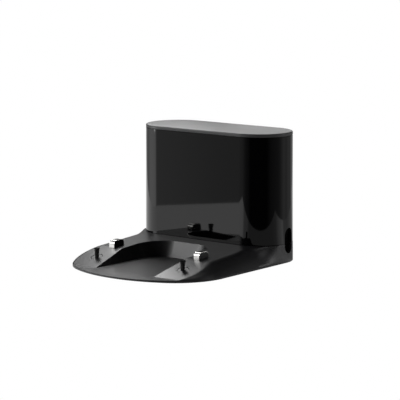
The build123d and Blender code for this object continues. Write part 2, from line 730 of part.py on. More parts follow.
def make_bobbin():
    """Winding between the bobbin's two flanges."""
    flange = (around(TRANSFORMER_X, BOBBIN_WIDTH), around(TRANSFORMER_Z, BOBBIN_HEIGHT))
    winding = (around(TRANSFORMER_X, WINDING_WIDTH), around(TRANSFORMER_Z, WINDING_HEIGHT))
    back_flange = on_board(*flange, BOBBIN_FLANGE)
    front_flange = Pos(0, BOBBIN_FLANGE - BOBBIN_DEPTH) * back_flange
    return on_board(*winding, BOBBIN_DEPTH) + back_flange + front_flange


def make_transformer_core():
    """Ferrite frame around the winding, between the flanges."""
    legs = (BOARD_FRONT_Y - BOBBIN_DEPTH + BOBBIN_FLANGE, BOARD_FRONT_Y - BOBBIN_FLANGE)
    window_width = WINDING_WIDTH + 2 * CORE_GAP
    window_height = WINDING_HEIGHT + 2 * CORE_GAP
    core = block(around(TRANSFORMER_X, CORE_WIDTH), legs, around(TRANSFORMER_Z, CORE_HEIGHT))
    return core - block(around(TRANSFORMER_X, window_width), legs, around(TRANSFORMER_Z, window_height))


def make_capacitor(x, rise, radius, length):
    """Round capacitor with a rolled shoulder, standing on the board."""
    can = rod_along_y(x, (BOARD_FRONT_Y - length, BOARD_FRONT_Y), BOARD_BOTTOM + rise, radius)
    return fillet(can.edges().sort_by(Axis.Y)[0], CAN_ROUND)


def make_fuse():
    """Upright fuse tube in two clips."""
    fuse = rod(FUSE_X, BOARD_FRONT_Y - FUSE_REACH, around(FUSE_Z, FUSE_LENGTH), FUSE_RADIUS)
    for side in (-1, 1):
        heights = around(FUSE_Z + side * CLIP_SPACING / 2, CLIP_LENGTH)
        fuse += on_board(around(FUSE_X, CLIP_WIDTH), heights, FUSE_REACH)
    return fuse


def make_choke():
    """Wound ring on edge, on a small foot."""
    ring = Rot(0, 90, 0) * Torus(CHOKE_RADIUS, CHOKE_WINDING)
    foot = on_board(around(CHOKE_X, CHOKE_FOOT), around(CHOKE_Z, CHOKE_FOOT), CHOKE_FOOT_DEPTH)
    return Pos(CHOKE_X, BOARD_FRONT_Y - CHOKE_REACH, CHOKE_Z) * ring + foot


def make_heat_sink():
    """Bent plate that stands on the board."""
    heights = (BOARD_BOTTOM + HEAT_SINK_RISE, BOARD_TOP - HEAT_SINK_DROP)
    plate = on_board((HEAT_SINK_X, HEAT_SINK_X + HEAT_SINK_THICKNESS), heights, HEAT_SINK_DEPTH)
    return plate + on_board((HEAT_SINK_X, HEAT_SINK_X + HEAT_SINK_FOOT), heights, HEAT_SINK_THICKNESS)


def make_transistor():
    """Flat transistor against the heat sink's face."""
    depth = (BOARD_FRONT_Y - TRANSISTOR_END, BOARD_FRONT_Y - TRANSISTOR_START)
    across = (HEAT_SINK_X - TRANSISTOR_WIDTH, HEAT_SINK_X)
    return block(across, depth, (TRANSISTOR_BOTTOM, TRANSISTOR_BOTTOM + TRANSISTOR_HEIGHT))


def make_header(x):
    """Small connector on the board's lower edge, where a lead ends."""
    half = HEADER_WIDTH / 2
    return on_board((x - half, x + half), (HEADER_Z, HEADER_Z + HEADER_HEIGHT), HEADER_REACH)


# Beacon: board under the cap with three emitters in a shade


def beacon_y():
    """Middle of the beacon board."""
    return TOWER_Y - BEACON_SHIFT


def make_beacon_board():
    half_x, half_y = BEACON_WIDTH / 2, BEACON_DEPTH / 2
    heights = (BEACON_TOP - BEACON_THICKNESS, BEACON_TOP)
    board = block((-half_x, half_x), (beacon_y() - half_y, beacon_y() + half_y), heights)
    for x, y in beacon_screws():
        board -= rod(x, y, (0, HEIGHT), SCREW_RADIUS + HOLE_GAP)
    return board


def emitter_z():
    """Height of the emitters' axes."""
    return BEACON_TOP - BEACON_THICKNESS - SHADE_HEIGHT / 2


def shade_front():
    """Front of the emitters' shade."""
    return beacon_y() - BEACON_DEPTH / 2


def make_emitters():
    emitters = []
    for x in (-EMITTER_SPACING, 0, EMITTER_SPACING):
        reach = (shade_front() + EMITTER_SUNK, shade_front() + EMITTER_SUNK + EMITTER_LENGTH)
        body = rod_along_y(x, reach, emitter_z(), EMITTER_RADIUS)
        emitters.append(fillet(body.edges().sort_by(Axis.Y)[0], EMITTER_ROUND))
    return emitters


def make_shade():
    top = BEACON_TOP - BEACON_THICKNESS
    depth = (shade_front(), shade_front() + SHADE_DEPTH)
    shade = block((-SHADE_WIDTH / 2, SHADE_WIDTH / 2), depth, (top - SHADE_HEIGHT, top))
    for x in (-EMITTER_SPACING, 0, EMITTER_SPACING):
        bore = (shade_front() - 1, shade_front() + SHADE_DEPTH + 1)
        shade -= rod_along_y(x, bore, emitter_z(), EMITTER_RADIUS + SNUG_FIT)
    return shade


# Charging contact: sprung carrier with a bent metal strip over it, in its guide


def make_carrier(side):
    body = contact_profile(STRIP_THICKNESS, FLANGE_BOTTOM)
    half_y = CONTACT_LENGTH / 2 + FLANGE_REACH
    flange_z = (FLANGE_BOTTOM, FLANGE_TOP)
    half_x = CONTACT_WIDTH / 2
    body += block((-half_x, half_x), (-half_y, half_y), flange_z)
    body -= rod(0, 0, (0, HEIGHT), SPRING_BORE / 2)
    return Pos(side * CONTACT_X, CONTACT_Y) * body


def make_strip(side):
    strip = contact_profile(0, FLANGE_TOP) - contact_profile(STRIP_THICKNESS, 0)
    return Pos(side * CONTACT_X, CONTACT_Y) * strip


def make_terminal(side):
    """Flat metal plate under the spring, with a tab out of the guide for the lead."""
    half = guide_half_length() - GUIDE_GAP / 2
    half_x = CONTACT_WIDTH / 2
    heights = (GUIDE_BOTTOM, SPRING_SEAT_Z)
    plate = block((-half_x, half_x), (-half, half), heights)
    tab_half = TERMINAL_WIDTH / 2
    plate += block((-tab_half, tab_half), (0, tab_reach()), heights)
    return Pos(side * CONTACT_X, CONTACT_Y) * plate


def tab_reach():
    """End of the terminal's tab, from the middle of the contact."""
    return guide_half_length() + GUIDE_WALL + TAB_LENGTH


def make_retainer(side):
    """Plate that closes the guide from below."""
    half_x = CONTACT_WIDTH / 2 + SLOT_GAP + GUIDE_WALL
    half_y = guide_half_length() + GUIDE_WALL
    plate = block((-half_x, half_x), (-half_y, half_y), (COVER_TOP + JOINT_GAP, GUIDE_BOTTOM))
    return Pos(side * CONTACT_X, CONTACT_Y) * plate


def make_contact_spring(side):
    low = SPRING_SEAT_Z + SPRING_WIRE / 2 + SPRING_SEAT_GAP
    high = STRIP_UNDERSIDE - SPRING_WIRE / 2 - SPRING_SEAT_GAP
    radius = (SPRING_DIAMETER - SPRING_WIRE) / 2
    path = Helix(SPRING_PITCH, high - low, radius)
    start = Plane(path @ 0, z_dir=path % 0)
    coil = sweep(start * Circle(SPRING_WIRE / 2), path=path, is_frenet=True)
    return Pos(side * CONTACT_X, CONTACT_Y, low) * coil


# Brushes: a flared tuft in a round holder that sits in the ramp


def below_ramp(sunk):
    """Everything below the ramp's surface, less the given depth."""
    points = [
        (RAMP_FOOT_Y, 0),
        (TOWER_FRONT, 0),
        (TOWER_FRONT, LIP_Z - sunk + RAMP_SLOPE * (TOWER_FRONT - RAMP_FOOT_Y)),
        (RAMP_FOOT_Y, LIP_Z - sunk),
    ]
    return extrude(Plane.YZ * make_face(Polyline(*points, close=True)), WIDTH, both=True)


def make_brush_holder(side):
    x = side * BRUSH_X
    holder = rod(x, BRUSH_Y, (HOLDER_BOTTOM, JUNCTION_Z), HOLDER_RADIUS) & below_ramp(HOLDER_SUNK)
    return holder - rod(x, BRUSH_Y, (BRUSH_ROOT_Z, JUNCTION_Z), BRUSH_FOOT_RADIUS)


def make_brush_tuft(side):
    ramp_z = crown(BRUSH_Y)
    waist_z = (ramp_z + BRUSH_TOP) / 2
    outline = [
        (0, BRUSH_ROOT_Z),
        (BRUSH_FOOT_RADIUS, BRUSH_ROOT_Z),
        (BRUSH_FOOT_RADIUS, ramp_z + HOLDER_SUNK),
        (BRUSH_WAIST_RADIUS, waist_z),
        (BRUSH_TIP_RADIUS, BRUSH_TOP),
        (0, BRUSH_TOP),
    ]
    tuft = revolve(Plane.XZ * make_face(Polyline(*outline, close=True)), Axis.Z)
    return Pos(side * BRUSH_X, BRUSH_Y) * tuft


# Screws, feet and the steel weight


def make_screw(x, y, grip):
    """Screw from below: flat head in the cover and a shank in its boss."""
    head = (BASE_BOTTOM + SCREW_HEAD_SUNK, BASE_BOTTOM + SCREW_HEAD_HEIGHT)
    shank = (BASE_BOTTOM + SCREW_HEAD_HEIGHT, COVER_TOP + grip)
    return rod(x, y, head, SCREW_HEAD_RADIUS) + rod(x, y, shank, SCREW_RADIUS)


def make_board_screws():
    screws = []
    for x, z in pillar_places():
        shank = (BOARD_FRONT_Y, BOARD_BACK_Y + SCREW_GRIP - TIP_GAP)
        head = (BOARD_FRONT_Y - SCREW_HEAD_HEIGHT, BOARD_FRONT_Y)
        screws.append(rod_along_y(x, shank, z, SCREW_RADIUS))
        screws[-1] += rod_along_y(x, head, z, SCREW_HEAD_RADIUS)
    return screws


def make_beacon_screws():
    under = BEACON_TOP - BEACON_THICKNESS
    screws = []
    for x, y in beacon_screws():
        shank = rod(x, y, (under, BEACON_TOP + SCREW_GRIP - TIP_GAP), SCREW_RADIUS)
        screws.append(shank + rod(x, y, (under - SCREW_HEAD_HEIGHT, under), SCREW_HEAD_RADIUS))
    return screws


def make_foot(x, y):
    pad = rod(x, y, (0, FOOT_THICKNESS), FOOT_RADIUS)
    return fillet(pad.edges().group_by(Axis.Z)[0], FOOT_PROUD / 2)


def make_weight():
    depth_from = TOWER_Y - WEIGHT_SHIFT - WEIGHT_DEPTH / 2
    half = WEIGHT_WIDTH / 2
    heights = (COVER_TOP, COVER_TOP + WEIGHT_HEIGHT)
    bar = block((-half, half), (depth_from, depth_from + WEIGHT_DEPTH), heights)
    return chamfer(bar.edges().filter_by(Axis.Z), WEIGHT_CHAMFER)


# Leads inside the dock: straight runs joined by large arcs


def make_lead(points):
    """Round lead through the given points, each corner as large as its runs allow."""
    vectors = [Vector(*point) for point in points]
    radii = []
    for before, here, after in zip(vectors, vectors[1:], vectors[2:]):
        run = min((here - before).length, (after - here).length)
        turn = (here - before).get_angle(after - here)
        radii.append(LEAD_BEND * run / tan(radians(turn) / 2))
    path = FilletPolyline(*vectors, radius=radii)
    start = Plane(path @ 0, z_dir=path % 0)
    print("lead radii", [round(radius, 1) for radius in radii])
    return sweep(start * Circle(LEAD_RADIUS), path=path)


def make_contact_lead(side):
    """From the tab of a contact's terminal, beside the bay, up to the power board."""
    tab_y = CONTACT_Y + tab_reach()
    low = SPRING_SEAT_Z + LEAD_RADIUS
    rise_y = TOWER_Y - COMPARTMENT_FRONT - 8.2
    points = [
        (CONTACT_X, tab_y - 1.6, low),
        (CONTACT_X, tab_y + 8.0, low),
        (CONTACT_X - 2.0, (tab_y + rise_y) / 2, low + 0.8),
        (CONTACT_X - 4.0, rise_y, low + 2.6),
        (CONTACT_X - 4.6, rise_y + 2.6, low + 17.0),
        (CONTACT_X - 5.6, rise_y + 3.0, HEADER_MIDDLE - 6.5),
        (HEADER_X, HEADER_FACE_Y - 7.2, HEADER_MIDDLE),
        (HEADER_X, HEADER_FACE_Y, HEADER_MIDDLE),
    ]
    return make_lead([(side * x, y, z) for x, y, z in points])


def make_inlet_lead(side):
    """From the tag of an inlet pin up to the mains end of the power board."""
    low = INLET_Z + TAG_HEIGHT
    x, y = side * PIN_SPACING / 2, tag_y()
    end_x = -INPUT_X + 1.5 * side
    level = HEADER_MIDDLE + 1.2 * side
    points = [
        (x, y, low),
        (x, y, low + 8.0),
        (x - 10.0, y + 3.0, level),
        (end_x + 12.0, y + 8.0, level),
        (end_x, HEADER_FACE_Y - 7.5, HEADER_MIDDLE + 0.4 * side),
        (end_x, HEADER_FACE_Y, HEADER_MIDDLE),
    ]
    return make_lead(points)


# Write every piece

save("base_moulding", make_base())
save("bottom_cover", make_bottom_cover())
save("tower_shell", make_tower_shell())
save("top_cap", make_top_cap())
save("rear_housing", make_rear_housing())
save("inlet_housing", make_inlet_housing())
save("inlet_pins", make_inlet_pins())
save("power_board", make_power_board())
save("transformer_bobbin", make_bobbin())
save("transformer_core", make_transformer_core())
save(
    "mains_capacitor",
    make_capacitor(MAINS_CAN_X, MAINS_CAN_RISE, MAINS_CAN_RADIUS, MAINS_CAN_LENGTH),
)
save(
    "output_capacitors",
    [
        make_capacitor(OUTPUT_CAN_X, rise, OUTPUT_CAN_RADIUS, OUTPUT_CAN_LENGTH)
        for rise in OUTPUT_CAN_RISES
    ],
)
save("fuse", make_fuse())
save("mains_choke", make_choke())
save("heat_sink", make_heat_sink())
save("power_transistor", make_transistor())
save("board_headers", [make_header(x) for x in (-INPUT_X, -HEADER_X, HEADER_X)])
save("board_screws", make_board_screws())
save("beacon_board", make_beacon_board())
save("beacon_emitters", make_emitters())
save("emitter_shade", make_shade())
save("beacon_screws", make_beacon_screws())
save("steel_weight", make_weight())
save("cover_screws", [make_screw(x, y, SCREW_GRIP - TIP_GAP) for x, y in COVER_SCREWS])
save("shell_screws", [make_screw(x, y, SHELL_SCREW_GRIP - TIP_GAP) for x, y in SHELL_SCREWS])
save("housing_screws", [make_screw(x, y, LEG_SCREW_GRIP - TIP_GAP) for x, y in LEG_SCREWS])
save("rubber_feet", [make_foot(x, y) for x, y in BASE_FEET + COVER_FEET])
save("inlet_leads", [make_inlet_lead(side) for side in (-1, 1)])
PAIRS = {
    "contact_strip": make_strip,
    "contact_carrier": make_carrier,
    "contact_spring": make_contact_spring,
    "contact_terminal": make_terminal,
    "guide_retainer": make_retainer,
    "contact_lead": make_contact_lead,
    "brush_holder": make_brush_holder,
    "brush_tuft": make_brush_tuft,
}
for name, make_piece in PAIRS.items():
    for side_name, piece in on_both_sides(make_piece).items():
        save(f"{name}_{side_name}", piece)
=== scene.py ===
import math
import random
import bpy
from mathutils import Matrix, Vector


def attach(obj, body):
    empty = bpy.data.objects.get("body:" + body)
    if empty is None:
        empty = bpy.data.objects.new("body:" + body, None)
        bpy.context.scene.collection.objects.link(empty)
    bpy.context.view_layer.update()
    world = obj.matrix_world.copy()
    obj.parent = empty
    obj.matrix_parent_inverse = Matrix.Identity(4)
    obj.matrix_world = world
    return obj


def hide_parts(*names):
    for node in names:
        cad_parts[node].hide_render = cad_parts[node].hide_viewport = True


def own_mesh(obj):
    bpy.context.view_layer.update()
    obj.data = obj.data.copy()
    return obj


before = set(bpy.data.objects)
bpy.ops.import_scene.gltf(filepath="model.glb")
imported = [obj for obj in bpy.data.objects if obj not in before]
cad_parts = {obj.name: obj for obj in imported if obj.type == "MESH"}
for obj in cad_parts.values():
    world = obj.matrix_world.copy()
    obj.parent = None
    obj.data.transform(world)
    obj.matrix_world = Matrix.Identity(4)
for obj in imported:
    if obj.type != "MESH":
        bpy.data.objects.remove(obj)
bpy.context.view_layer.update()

# The studio: a white sheet under the dock, a white floor around it, and soft light.
# Only the sheet and the room show in the glossy wall, so the floor beyond stays dark there.
# How bright they are at each turn was worked out from the tones of the wall that mirrors them.
MM = 0.001
CAMERA_PLACE = Vector((877.03, -1073.98, 262.93)) * MM
CAMERA_TURN = math.radians(38.513)
CAMERA_DIP = math.radians(8.783)
CAMERA_LENS = 167.235
SENSOR_WIDTH = 36.0
FLOOR_REACH = 12.0
SHEET_LEFT = 250 * MM
SHEET_RIGHT = 300 * MM
SHEET_FRONT = 175 * MM
SHEET_BACK = 900 * MM
SHEET_Z = -0.2 * MM
# Turns are seen from above, 0 towards -Y and growing towards +X, with the light found there.
# On the sheet they go round the middle of the tower's rounded right end.
SHEET_PIVOT_X = 39.4 * MM
SHEET_PIVOT_Y = 50.7 * MM
SHEET_LIGHT = (
    (-180, 0.8), (-60, 1.0), (-18, 1.0), (-12, 0.45), (-2, 0.4), (4, 0.2), (78, 0.2),
    (92, 0.27), (100, 0.5), (118, 0.8), (124, 0.4), (140, 0.28), (180, 0.3),
)
ROOM_LIGHT = (
    (-180, 0.4), (-160, 0.31), (-94, 0.36), (-82, 0.73), (-69, 1.0), (-58, 1.15), (-51, 1.1),
    (-47, 0.48), (-39.8, 0.46), (-39.5, 0.39), (-38.5, 0.31), (-37.3, 0.26), (-22, 0.22),
    (-15, 0.13), (-8, 0.07), (-1, 0.05), (6, 0.0), (62, 0.0), (76, 0.055), (104, 0.1),
    (112, 0.14), (121, 0.25), (130, 0.33), (142, 0.22), (154, 0.25), (168, 0.16), (180, 0.4),
)
STRONGEST_LIGHT = 6
HORIZON_BLUR = 0.02
# Far soft lights: turn, height above the horizon, half of their spread and strength.
FAR_LIGHTS = (
    (135, 3, 13, 3.5), (-54, 17, 13, 3.5), (-135, 27, 16, 0.6), (162, 15, 13, 0.9),
    (120, 39, 13, 1.3), (120, 76, 15, 2.0),
)
FAR_LIGHT_CORE = 2  # degrees of even light in the middle
# A long light bank arches over the left side, with its turn over that arch and its light there.
BANK_MIDDLE = -0.62
BANK_CORE = 0.14
BANK_EDGE = 0.24
BANK_LIGHT = ((0, 0.45), (18, 0.5), (26, 5.6), (44, 5.6), (52, 0.4), (110, 0.1), (180, 0.1))
# Round soft boxes near the dock: turn, height, distance, radius and strength.
SOFT_BOXES = (
    (-158, 12, 500 * MM, 97 * MM, 2.2), (-140, 42, 300 * MM, 58 * MM, 7.0),
    (-122, 42, 300 * MM, 58 * MM, 9.0), (-100, 57, 300 * MM, 58 * MM, 0.6),
    (-60, 10, 500 * MM, 79 * MM, 7.0), (-60, 24, 500 * MM, 79 * MM, 2.9),
)
SOFT_BOX_AIM = Vector((0, 0, 30 * MM))
SOFT_BOX_SIDES = 32

camera_data = bpy.data.cameras.new("camera")
camera_data.lens = CAMERA_LENS
camera_data.sensor_width = SENSOR_WIDTH
camera = bpy.data.objects.new("camera", camera_data)
camera.location = CAMERA_PLACE
camera.rotation_euler = (math.pi / 2 - CAMERA_DIP, 0, CAMERA_TURN)
bpy.context.scene.collection.objects.link(camera)
bpy.context.scene.camera = camera
bpy.context.scene.view_settings.view_transform = "Standard"


def glow_material(name, strength):
    """Evenly bright white surface."""
    material = bpy.data.materials.new(name)
    material.use_nodes = True
    nodes = material.node_tree.nodes
    nodes.clear()
    emission = nodes.new("ShaderNodeEmission")
    emission.inputs["Strength"].default_value = strength
    output = nodes.new("ShaderNodeOutputMaterial")
    material.node_tree.links.new(emission.outputs[0], output.inputs["Surface"])
    return material


def math_node(tree, operation, first, second):
    """Math node whose two inputs are sockets or numbers."""
    node = tree.nodes.new("ShaderNodeMath")
    node.operation = operation
    for socket, value in zip(node.inputs, (first, second)):
        if isinstance(value, bpy.types.NodeSocket):
            tree.links.new(value, socket)
        else:
            socket.default_value = value
    return node.outputs[0]


def light_by_turn(tree, across, along, table):
    """Brightness that follows the turn of a place or a direction."""
    turn = math_node(tree, "ARCTAN2", across, along)
    share = math_node(tree, "ADD", math_node(tree, "DIVIDE", turn, 2 * math.pi), 0.5)
    ramp = tree.nodes.new("ShaderNodeValToRGB")
    stops = ramp.color_ramp.elements
    while len(stops) < len(table):
        stops.new(0.5)
    for stop, (degrees, _) in zip(stops, table):
        stop.position = degrees / 360 + 0.5
    for stop, (_, light) in zip(stops, table):
        stop.color = [light / STRONGEST_LIGHT] * 3 + [1]
    tree.links.new(share, ramp.inputs["Fac"])
    return math_node(tree, "MULTIPLY", ramp.outputs["Color"], STRONGEST_LIGHT)


def rise_node(tree, value, start, end, top=1.0, curve="SMOOTHSTEP"):
    """Share that rises from 0, where the value is at the start, to top at the end."""
    node = tree.nodes.new("ShaderNodeMapRange")
    node.interpolation_type = curve
    node.inputs["From Min"].default_value = start
    node.inputs["From Max"].default_value = end
    node.inputs["To Max"].default_value = top
    tree.links.new(value, node.inputs["Value"])
    return node.outputs["Result"]


def direction_to(turn, height):
    """Direction from the dock with a turn and a height above the horizon in degrees."""
    turn, height = math.radians(turn), math.radians(height)
    flat = math.cos(height)
    return Vector((math.sin(turn) * flat, -math.cos(turn) * flat, math.sin(height)))


def flat_stage(name, corners, material):
    """Flat stage piece through the given corners."""
    mesh = bpy.data.meshes.new(name)
    mesh.from_pydata(corners, [], [range(len(corners))])
    piece = bpy.data.objects.new(name, mesh)
    bpy.context.scene.collection.objects.link(piece)
    mesh.materials.append(material)
    return piece


corner_signs = ((-1, -1), (1, -1), (1, 1), (-1, 1))
floor_corners = [(x * FLOOR_REACH, y * FLOOR_REACH, 0) for x, y in corner_signs]
floor = flat_stage("floor", floor_corners, glow_material("white_paper", 1.0))
floor.visible_glossy = False
towards_camera = Vector((math.sin(CAMERA_TURN), -math.cos(CAMERA_TURN), 0))
sideways = Vector((math.cos(CAMERA_TURN), math.sin(CAMERA_TURN), 0))
sheet_level = Vector((0, 0, SHEET_Z))
lit_paper = glow_material("lit_paper", 1.0)
lit_tree = lit_paper.node_tree
lit_place = lit_tree.nodes.new("ShaderNodeSeparateXYZ")
lit_tree.links.new(lit_tree.nodes.new("ShaderNodeTexCoord").outputs["Object"], lit_place.inputs[0])
lit_across = math_node(lit_tree, "SUBTRACT", lit_place.outputs["X"], SHEET_PIVOT_X)
lit_along = math_node(lit_tree, "SUBTRACT", SHEET_PIVOT_Y, lit_place.outputs["Y"])
lit = light_by_turn(lit_tree, lit_across, lit_along, SHEET_LIGHT)
lit_tree.links.new(lit, lit_tree.nodes["Emission"].inputs["Strength"])
sheet = flat_stage(
    "sheet",
    [
        sideways * across + towards_camera * along + sheet_level
        for across, along in (
            (-SHEET_LEFT, SHEET_FRONT),
            (SHEET_RIGHT, SHEET_FRONT),
            (SHEET_RIGHT, -SHEET_BACK),
            (-SHEET_LEFT, -SHEET_BACK),
        )
    ],
    lit_paper,
)
sheet.visible_camera = False

for number, (turn, height, distance, radius, strength) in enumerate(SOFT_BOXES):
    facing = direction_to(turn, height)
    middle = facing * distance + SOFT_BOX_AIM
    side_way = facing.orthogonal().normalized() * radius
    up_way = facing.cross(side_way).normalized() * radius
    angles = [math.tau * step / SOFT_BOX_SIDES for step in range(SOFT_BOX_SIDES)]
    rim = [middle + side_way * math.cos(angle) + up_way * math.sin(angle) for angle in angles]
    name = "soft_box_%d" % number
    soft_box = flat_stage(name, rim, glow_material(name, strength))
    soft_box.visible_camera = False

world = bpy.data.worlds.new("studio")
bpy.context.scene.world = world
world.use_nodes = True
sky = world.node_tree
direction = sky.nodes.new("ShaderNodeTexCoord").outputs["Generated"]
split = sky.nodes.new("ShaderNodeSeparateXYZ")
sky.links.new(direction, split.inputs[0])
forward = math_node(sky, "MULTIPLY", split.outputs["Y"], -1)
above = rise_node(sky, split.outputs["Z"], -HORIZON_BLUR, 0.0, curve="LINEAR")
below = math_node(sky, "SUBTRACT", 1, above)
room = light_by_turn(sky, split.outputs["X"], forward, ROOM_LIGHT)
total = math_node(sky, "MULTIPLY", room, below)
beside_bank = math_node(sky, "SUBTRACT", split.outputs["X"], BANK_MIDDLE)
off_middle = math_node(sky, "ABSOLUTE", beside_bank, 0)
in_bank = rise_node(sky, off_middle, BANK_EDGE, BANK_CORE)
bank = light_by_turn(sky, split.outputs["Z"], forward, BANK_LIGHT)
bank = math_node(sky, "MULTIPLY", bank, in_bank)
total = math_node(sky, "ADD", total, math_node(sky, "MULTIPLY", bank, above))
light_core = math.cos(math.radians(FAR_LIGHT_CORE))
for turn, height, spread, strength in FAR_LIGHTS:
    near = sky.nodes.new("ShaderNodeVectorMath")
    near.operation = "DOT_PRODUCT"
    near.inputs[1].default_value = direction_to(turn, height)
    sky.links.new(direction, near.inputs[0])
    light_edge = math.cos(math.radians(spread))
    lobe = rise_node(sky, near.outputs["Value"], light_edge, light_core, strength)
    total = math_node(sky, "ADD", total, math_node(sky, "MULTIPLY", lobe, above))
background = sky.nodes["Background"]
sky.links.new(total, background.inputs["Strength"])
background.inputs["Color"].default_value = (1, 1, 1, 1)


# Base moulding: injection-moulded satin black plastic, with the ramp, the bay for the caster,
# the tower's foot and the sleeves of the contacts in one piece. Ribs and bosses are below its deck.
WIDTH = 131.4 * MM
TOWER_DEPTH = 52.6 * MM
DRAFT = math.tan(math.radians(0.42))
BASE_BOTTOM = 0.6 * MM
LIP_Z = 2.0 * MM
LIP_BACK_Z = 2.4 * MM
CREST_Z = 11.8 * MM
JUNCTION_Z = 15.1 * MM
BEND_SOFT = 1.2 * MM
FRONT_Y = -77.0 * MM
RAMP_FOOT_Y = -61.0 * MM
CREST_Y = -27.0 * MM
TOWER_Y = 50.7 * MM
TOWER_FRONT = TOWER_Y - TOWER_DEPTH / 2
FRONT_RADIUS = 93.6 * MM
CORNER_RADIUS = 43.0 * MM
ARC_Y = FRONT_Y + FRONT_RADIUS
CORNER_X = WIDTH / 2 - CORNER_RADIUS
CORNER_Y = ARC_Y - math.sqrt((FRONT_RADIUS - CORNER_RADIUS) ** 2 - CORNER_X**2)
TANGENT_ANGLE = math.asin(CORNER_X / (FRONT_RADIUS - CORNER_RADIUS))
FLANK_WIDTH = 14.0 * MM
FLANK_END = 0.3 * MM
FLANK_LEAST = 0.5 * MM
FLARE_START = 8.0 * MM
FLARE_END = 19.0 * MM
BAY_HALF = 28.0 * MM
BAY_BACK = TOWER_FRONT - 17.4 * MM
BAY_CORNER = 18.0 * MM
BAY_FLOOR_Z = 2.4 * MM
BAY_LEAN = math.tan(math.radians(21))
BAY_TOP = JUNCTION_Z + 8 * MM
BASE_WALL = 2.0 * MM
SKIN = 1.8 * MM
OVERLAP = 0.1 * MM
HOLLOW_FRONT = -50.0 * MM
DECK_LEDGE = 3.0 * MM
TONGUE_DEPTH = 3.0 * MM
OUTLET_HEIGHT = 19.5 * MM
OUTLET_WIDTH = 11.0 * MM
OUTLET_Y = TOWER_Y + 3.6 * MM
OUTLET_Z = 17.35 * MM
WINDOW_HALF = 37.0 * MM
WINDOW_DEPTH = 40.0 * MM
WINDOW_BOTTOM = 5.4 * MM
WINDOW_TOP = 86.0 * MM
CONTACT_X = 41.2 * MM
CONTACT_Y = -22.2 * MM
SLOT_HALF_X = 2.8 * MM
SLOT_HALF_Y = 6.1 * MM
BRUSH_X = 41.65 * MM
BRUSH_Y = -44.4 * MM
HOLDER_HOLE = 4.45 * MM
FOOT_X = 44.0 * MM
FOOT_Y = -55.0 * MM
FOOT_POCKET = 4.1 * MM
FOOT_POCKET_Z = 1.6 * MM
# How finely the curved surfaces are divided, and how far the cuts go past what they cut.
FLANK_STEPS = 14
FRONT_STEPS = 18
CORNER_STEPS = 24
FLARE_STEPS = 40
BEND_STEPS = 3
ROW_GAP = 0.15 * MM
OVAL_SIDES = 256
BAY_SIDES = 128
ROUND_SIDES = 96
CUT_PAST = 5.0 * MM
CUT_TOP = 30.0 * MM
HAIR = MM / 100
FLAT_ANGLE = math.radians(0.05)


def use_alone(piece):
    """Deselect everything, then select and activate one piece."""
    bpy.ops.object.select_all(action="DESELECT")
    piece.select_set(True)
    bpy.context.view_layer.objects.active = piece


def select_in_mesh(piece, kind, wanted):
    """In edit mode, select exactly the faces, edges or vertices that pass a test."""
    use_alone(piece)
    bpy.ops.object.mode_set(mode="EDIT")
    bpy.ops.mesh.select_mode(type={"faces": "FACE", "edges": "EDGE", "vertices": "VERT"}[kind])
    bpy.ops.mesh.select_all(action="DESELECT")
    bpy.ops.object.mode_set(mode="OBJECT")
    mesh = piece.data
    elements = {"faces": mesh.polygons, "edges": mesh.edges, "vertices": mesh.vertices}[kind]
    for element in elements:
        element.select = bool(wanted(element))
    bpy.ops.object.mode_set(mode="EDIT")


def settle(piece):
    """Leave edit mode and put the piece's place into its mesh."""
    if bpy.context.mode == "EDIT_MESH":
        bpy.ops.object.mode_set(mode="OBJECT")
    use_alone(piece)
    bpy.ops.object.transform_apply(location=True, rotation=True, scale=True)


def apply_modifier(piece, kind, **settings):
    """Add a modifier with the given settings and apply it."""
    use_alone(piece)
    modifier = piece.modifiers.new(kind.lower(), kind)
    for name, value in settings.items():
        setattr(modifier, name, value)
    bpy.ops.object.modifier_apply(modifier=modifier.name)


def combine(piece, other, operation):
    """Cut, join or intersect a piece with another, which is used up."""
    apply_modifier(piece, "BOOLEAN", object=other, operation=operation, solver="EXACT")
    bpy.data.objects.remove(other)


def add_to(piece, other):
    """Put another closed form into a piece that it overlaps."""
    bpy.ops.object.select_all(action="DESELECT")
    other.select_set(True)
    piece.select_set(True)
    bpy.context.view_layer.objects.active = piece
    bpy.ops.object.join()


def begin(name, add_primitive, **settings):
    """Start a piece from one of Blender's primitives."""
    bpy.ops.object.select_all(action="DESELECT")
    add_primitive(**settings)
    piece = bpy.context.object
    piece.name = name
    return piece


def move_vertices(piece, wanted, way):
    """Move the vertices that pass a test."""
    select_in_mesh(piece, "vertices", wanted)
    bpy.ops.transform.translate(value=way)
    bpy.ops.object.mode_set(mode="OBJECT")


def block(name, low, high):
    """Box between two corners, as the start of a cut or a boss."""
    centre = [(a + b) / 2 for a, b in zip(low, high)]
    piece = begin(name, bpy.ops.mesh.primitive_cube_add, size=1, location=centre)
    piece.scale = [b - a for a, b in zip(low, high)]
    settle(piece)
    return piece


def round_bar(name, x, y, low_z, high_z, radius, sides=48):
    """Upright round bar, as the start of a cut or a boss."""
    piece = begin(
        name,
        bpy.ops.mesh.primitive_cylinder_add,
        vertices=sides,
        radius=radius,
        depth=high_z - low_z,
        location=(x, y, (low_z + high_z) / 2),
    )
    settle(piece)
    return piece


def oval(name, inset, low_z, high_z):
    """Oval body of the tower, inset from its skin and leaning in with the draft."""
    radius = TOWER_DEPTH / 2 - inset
    piece = begin(
        name,
        bpy.ops.mesh.primitive_cone_add,
        vertices=OVAL_SIDES,
        radius1=radius - DRAFT * low_z,
        radius2=radius - DRAFT * high_z,
        depth=high_z - low_z,
        location=(0, TOWER_Y, (low_z + high_z) / 2),
    )
    settle(piece)
    for side in (-1, 1):
        way = (side * (WIDTH - TOWER_DEPTH) / 2, 0, 0)
        move_vertices(piece, lambda vertex: vertex.co.x * side > HAIR, way)
    return piece


